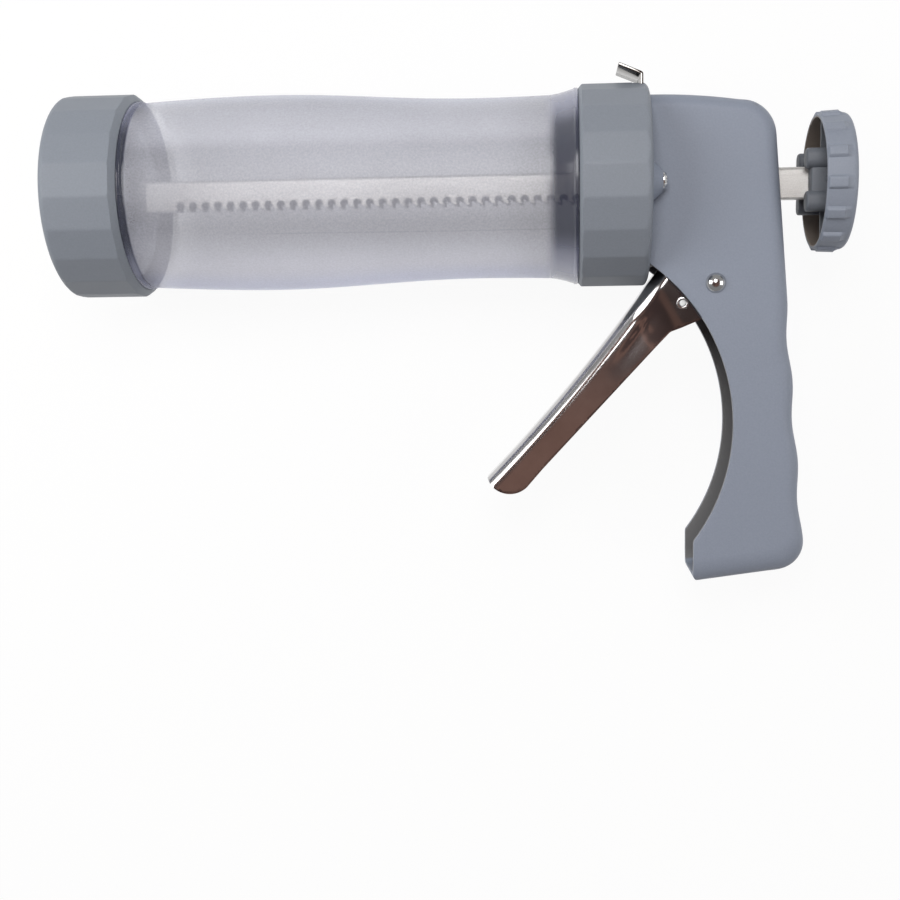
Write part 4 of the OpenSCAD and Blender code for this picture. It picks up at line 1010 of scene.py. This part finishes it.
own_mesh(coilPiece)

# painted shade: a dark band round the piston between the given places along it
pistonShadeBand = dict(dark=(0.035, 0.038, 0.05), pale=(0.42, 0.44, 0.49), range=(21.0, 34.0, 4.5), cloud=0.15,
                  waver=5, roughness=0.42, cloudRough=0.1, bump=0.1, depth=0.05)


def makePistonPlastic(name, s=pistonShadeBand):
    # pale rubbery plastic with a dark band of painted shade round it, whose borders the clouds shift
    material, wire, spot, (x, _, _) = startMaterial(name)
    clouds = noise(wire, spot, s["cloud"], 3.0, 0.6)
    paint = (x + clouds.swing(s["waver"])).between(*s["range"]).blend(opaque(s["pale"]), opaque(s["dark"]))
    roughness = s["roughness"] + clouds.swing(s["cloudRough"])
    return endMaterial(material, wire, paint, roughness, bumpOf(wire, clouds, s["bump"], s["depth"]))


# CAD nodes that show as they are
pistonPlastic = makePistonPlastic("pistonPlastic")
pawlSteel = makeMetal("pawlSteel", (0.40, 0.39, 0.38), 0.36, smudge=0.10, speckle=0.06)
finishes = {
    "nozzle_disc": makeSoftPlastic("discPlastic", (0.86, 0.82, 0.58), 0.34), "ring_screws": zincSteel,
    "piston": pistonPlastic, "piston_seal": pistonPlastic, "piston_washer": zincSteel,
    "piston_screw": zincSteel, "pivot_sleeve": zincSteel, "drive_pawl": pawlSteel, "pawl_pin": zincSteel}
for nodeName, finish in finishes.items():
    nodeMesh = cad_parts[nodeName].data
    nodeMesh.materials.clear()
    nodeMesh.materials.append(finish)
print("CAD nodes finished")

# floor, surround and soft lamps: spots and sizes in metres, powers in watts
studio = dict(floorColour=(0.86, 0.86, 0.86), floorGlow=0.93, floorHalf=6.0, surround=0.35,
              overhead=(0.64, 0.84), below=(-0.75, 0.1), belowShare=0.28, belowColour=(0.35, 0.35, 0.38),
              patch=5.0, patchRange=(0.40, 0.62), ceilingDark=(0.22, 0.14, 0.13),
              ceilingPale=(0.70, 0.40, 0.32))
lamps = dict(keySoftbox=dict(spot=(0.02, 0.31, 0.76), target=(0, 0.02, 0.03), size=0.36, power=3.25),
             leftSoftbox=dict(spot=(-0.50, 0.12, 0.46), target=(-0.05, 0, 0.03), size=0.4, power=2.35),
             rightSoftbox=dict(spot=(0.70, 0.0, 0.42), target=(0.1, 0, 0.03), size=0.4, power=1.2))
white = (1, 1, 1, 1)


def makeFloor(s=studio):
    # plain pale floor: plain white to the camera and to gloss, with part of the object's shadow kept
    material = bpy.data.materials.new("paleFloor")
    material.use_nodes = True
    material.node_tree.nodes.clear()
    wire = Wire(material.node_tree)
    camera, gloss, glass = [wire.node("LightPath", out=k)
                            for k in ("Is Camera Ray", "Is Glossy Ray", "Is Transmission Ray")]
    seen = camera.larger(gloss).larger(glass) * s["floorGlow"]
    diffuse = wire.node("BsdfDiffuse", sockets={"Color": opaque(s["floorColour"])})
    glow = wire.node("Emission", sockets={"Color": white, "Strength": 1.0})
    mixed = wire.node("MixShader", sockets={0: seen, 1: diffuse, 2: glow})
    wire.node("OutputMaterial", sockets={"Surface": mixed})
    mesh = bpy.data.meshes.new("floor")
    corners = np.array([[-1, -1, 0], [1, -1, 0], [1, 1, 0], [-1, 1, 0]]) * s["floorHalf"]
    mesh.from_pydata(corners.tolist(), [], [[0, 1, 2, 3]])
    mesh.materials.append(material)
    floor = bpy.data.objects.new("floor", mesh)
    bpy.context.collection.objects.link(floor)


def makeWorld(s=studio):
    # soft white surround, darker and warmer straight overhead, where the camera stands
    world = bpy.data.worlds.new("studio")
    bpy.context.scene.world = world
    world.use_nodes = True
    world.node_tree.nodes.clear()
    wire = Wire(world.node_tree)
    way = wire.node("TexCoord", out=0)
    y, z = [wire.node("SeparateXYZ", sockets={0: way}, out=k) for k in ("Y", "Z")]
    below = (1 - y.ease(*s["below"])) * s["belowShare"]
    patches = wire.node("TexNoise", sockets={"Vector": way, "Scale": s["patch"], "Detail": 1.0})
    ceiling = patches.ease(*s["patchRange"]).blend(opaque(s["ceilingDark"]), opaque(s["ceilingPale"]))
    tone = z.ease(*s["overhead"]).blend(white, ceiling)
    shade = wire.node("Mix", {"data_type": "RGBA", "blend_type": "MULTIPLY"},
                      {0: below, 6: tone, 7: opaque(s["belowColour"])}, 2)
    background = wire.node("Background", sockets={"Color": shade, "Strength": s["surround"]})
    wire.node("OutputWorld", sockets={"Surface": background})


def placeAt(obj, right, up, back, spot):
    # puts a lamp or the camera at a spot, with its own axes along right, up and back
    turned = np.eye(4)
    turned[:3] = np.stack([right, up, back, spot], 1)
    obj.matrix_world = Matrix(turned.tolist())
    bpy.context.collection.objects.link(obj)


makeFloor()
makeWorld()
for lampName, lamp in lamps.items():
    light = bpy.data.lights.new(lampName, "AREA")
    light.shape, light.size, light.energy = "SQUARE", lamp["size"], lamp["power"]
    away = np.array(lamp["spot"]) - lamp["target"]
    away /= np.linalg.norm(away)
    side = np.cross([0, 0, 1], away)
    side /= np.linalg.norm(side)
    placeAt(bpy.data.objects.new(lampName, light), side, np.cross(away, side), away, lamp["spot"])

# the photograph's view, from above the press as it lies
view = dict(lens=51.26, sensor=36, clip=(0.01, 50), right=(0.99678, -0.01340, -0.07901),
            up=(0.00598, 0.99562, -0.09334), back=(0.07992, 0.09257, 0.99250), place=(158.86, -45.71, 422.87))
cameraData = bpy.data.cameras.new("photoCamera")
cameraData.lens = view["lens"]
cameraData.sensor_width = view["sensor"]
cameraData.clip_start, cameraData.clip_end = view["clip"]
camera = bpy.data.objects.new("photoCamera", cameraData)
placeAt(camera, view["right"], view["up"], view["back"], np.array(view["place"]) / mmPerMetre + axisPoint)
bpy.context.scene.camera = camera
bpy.context.scene.view_settings.view_transform = "Standard"
print("stage, lamps and camera ready")
